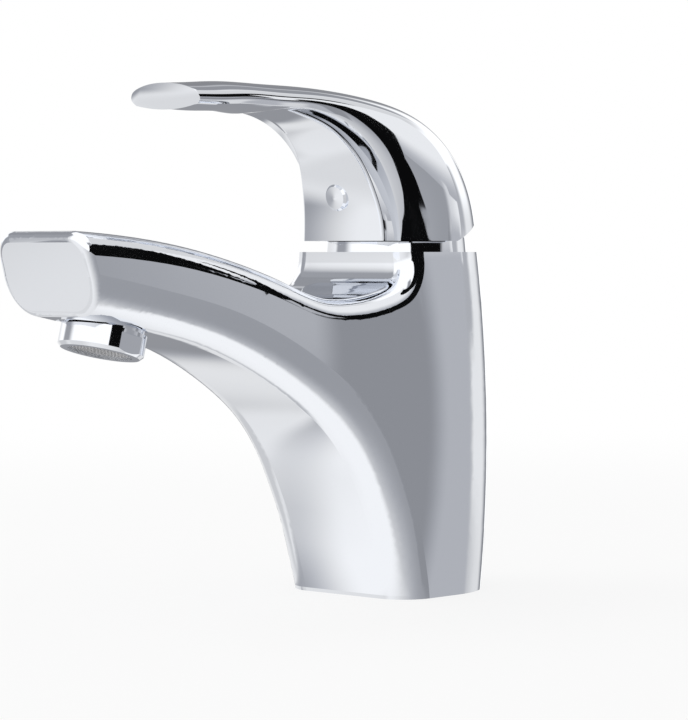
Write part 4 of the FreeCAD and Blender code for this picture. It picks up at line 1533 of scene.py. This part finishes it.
    def _floor(self) -> None:
        """Makes the floor, which keeps a faint shadow near the tap."""
        half = self.floor_half
        spots = [(x, y, 0.0) for x, y in oblong(-half, half, -half, half)]
        floor, graph = self._sheet("floor", spots, "floor_paint")
        floor.visible_glossy = False
        x, y, _, _ = graph.place()
        away = (x * x + y * y).root().ramp(*self.shadow_reach)
        matt = graph.node(
            "ShaderNodeBsdfDiffuse", None, {"Color": grey(self.floor_level)}
        )
        glow = graph.node("ShaderNodeEmission", None, {"Color": WHITE, "Strength": 1.0})
        share = away * (1 - self.floor_glow) + self.floor_glow
        graph.output(graph.blend(share, matt, glow))

    def _hold(self, card: Card) -> None:
        """Puts up one card, which only the chrome sees.

        Args:
            card: The card.
        """
        spots = [(x * MM, y * MM, 0.0) for x, y in card.outline]
        sheet, graph = self._sheet(card.name, spots, card.name)
        sheet.matrix_world = card.place()
        for way in ("camera", "diffuse", "shadow", "transmission", "volume_scatter"):
            setattr(sheet, f"visible_{way}", False)
        x, y, _, _ = graph.place()
        level = card.level(x)
        glow = graph.scaled(self._cooled(graph, level), level / self.plating)
        shown = graph.node("ShaderNodeEmission", None, {"Color": glow, "Strength": 1.0})
        if any(card.rims):
            clear = graph.node("ShaderNodeBsdfTransparent")
            shown = graph.blend(card.cover(x, y), clear, shown)
        graph.output(shown)

    def _world(self) -> None:
        """Makes the surroundings: white to the camera, a studio to the chrome."""
        world = bpy.data.worlds.new("studio")
        bpy.context.scene.world = world
        world.use_nodes = True
        graph = Graph(world.node_tree)
        path = graph.node("ShaderNodeLightPath")
        camera = Value(graph, path.outputs["Is Camera Ray"])
        glossy = Value(graph, path.outputs["Is Glossy Ray"])
        through = Value(graph, path.outputs["Is Transmission Ray"])
        level = self._mirrored_level(graph)
        mirrored = graph.scaled(self._cooled(graph, level), level)
        lit = graph.mix(glossy.at_least(through), grey(self.ambient), mirrored)
        shown = graph.mix(camera, lit, WHITE)
        back = graph.node(
            "ShaderNodeBackground", None, {"Color": shown, "Strength": 1.0}
        )
        graph.node("ShaderNodeOutputWorld", None, {"Surface": back.outputs[0]})

    def _cooled(self, graph: Graph, level: Value) -> bpy.types.NodeSocket:
        """Returns the tint of a level: white when bright, bluish when dim."""
        return graph.mix(level.ramp(*self.tint_span), WHITE, opaque(self.dim_tint))

    def _mirrored_level(self, graph: Graph) -> Value:
        """Works out how bright the surroundings are in a direction.

        Args:
            graph: The world's graph.

        Returns:
            The brightness that a reflection sees.
        """
        way = graph.node("ShaderNodeTexCoord").outputs["Generated"]
        parts = graph.node("ShaderNodeSeparateXYZ", None, {0: way})
        x, y, z = (Value(graph, output) for output in parts.outputs)
        degree = math.pi / 180
        height = z.at_most(1.0).at_least(-1.0).arcsine() / degree
        bearing = x.angle_to(y * -1) / degree
        level = self.bench - y * self.bench_fall
        for area in self.below:
            level = level + area.cover(bearing, height) * (area.level - level)
        level = level + height.ramp(*self.horizon) * (self.ceiling - level)
        for area in self.above:
            level = level + area.cover(bearing, height) * (area.level - level)
        return level / self.plating

    def _lamp(self) -> None:
        """Makes one large soft lamp, high on the hot side in front."""
        lamp = bpy.data.lights.new("softbox", "AREA")
        lamp.energy = self.lamp_power
        lamp.shape = "DISK"
        lamp.size = self.lamp_size
        holder = new_object("softbox", lamp)
        holder.location = self.lamp_place
        aim = Vector(self.lamp_aim) - Vector(self.lamp_place)
        holder.rotation_euler = aim.to_track_quat("-Z", "Y").to_euler()
        holder.visible_glossy = False


@dataclass
class PhotoCamera:
    """The camera at the photograph's viewing angle, level with the rim."""

    bearing: float = math.radians(42.0)
    distance: float = 0.8
    aside: float = -14.9 * MM
    height: float = 95.8 * MM
    lens: float = 140.0
    sensor: float = 36.0
    shift_up: float = -0.15
    seen_from: float = 0.05
    seen_to: float = 20.0

    def build(self) -> bpy.types.Object:
        """Makes the camera and puts it in the scene.

        Returns:
            The camera.
        """
        data = bpy.data.cameras.new("photo_camera")
        data.lens = self.lens
        data.sensor_width = self.sensor
        data.shift_y = self.shift_up
        data.clip_start = self.seen_from
        data.clip_end = self.seen_to
        camera = new_object("photo_camera", data)
        sine, cosine = math.sin(self.bearing), math.cos(self.bearing)
        camera.location = (
            self.distance * sine + self.aside * cosine,
            self.aside * sine - self.distance * cosine,
            self.height,
        )
        camera.rotation_euler = (math.pi / 2, 0.0, self.bearing)
        bpy.context.scene.camera = camera
        return camera


def main() -> None:
    """Builds the looks in order and reports each piece."""
    logging.basicConfig(level=logging.INFO, format="%(message)s")
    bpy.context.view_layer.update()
    dress_frame()
    for part in (HandleShell(), WovenScreen()):
        made = part.build()
        LOG.info("built %s", made.name)
    Studio().build()
    camera = PhotoCamera().build()
    LOG.info("placed %s", camera.name)


if __name__ == "__main__":
    main()
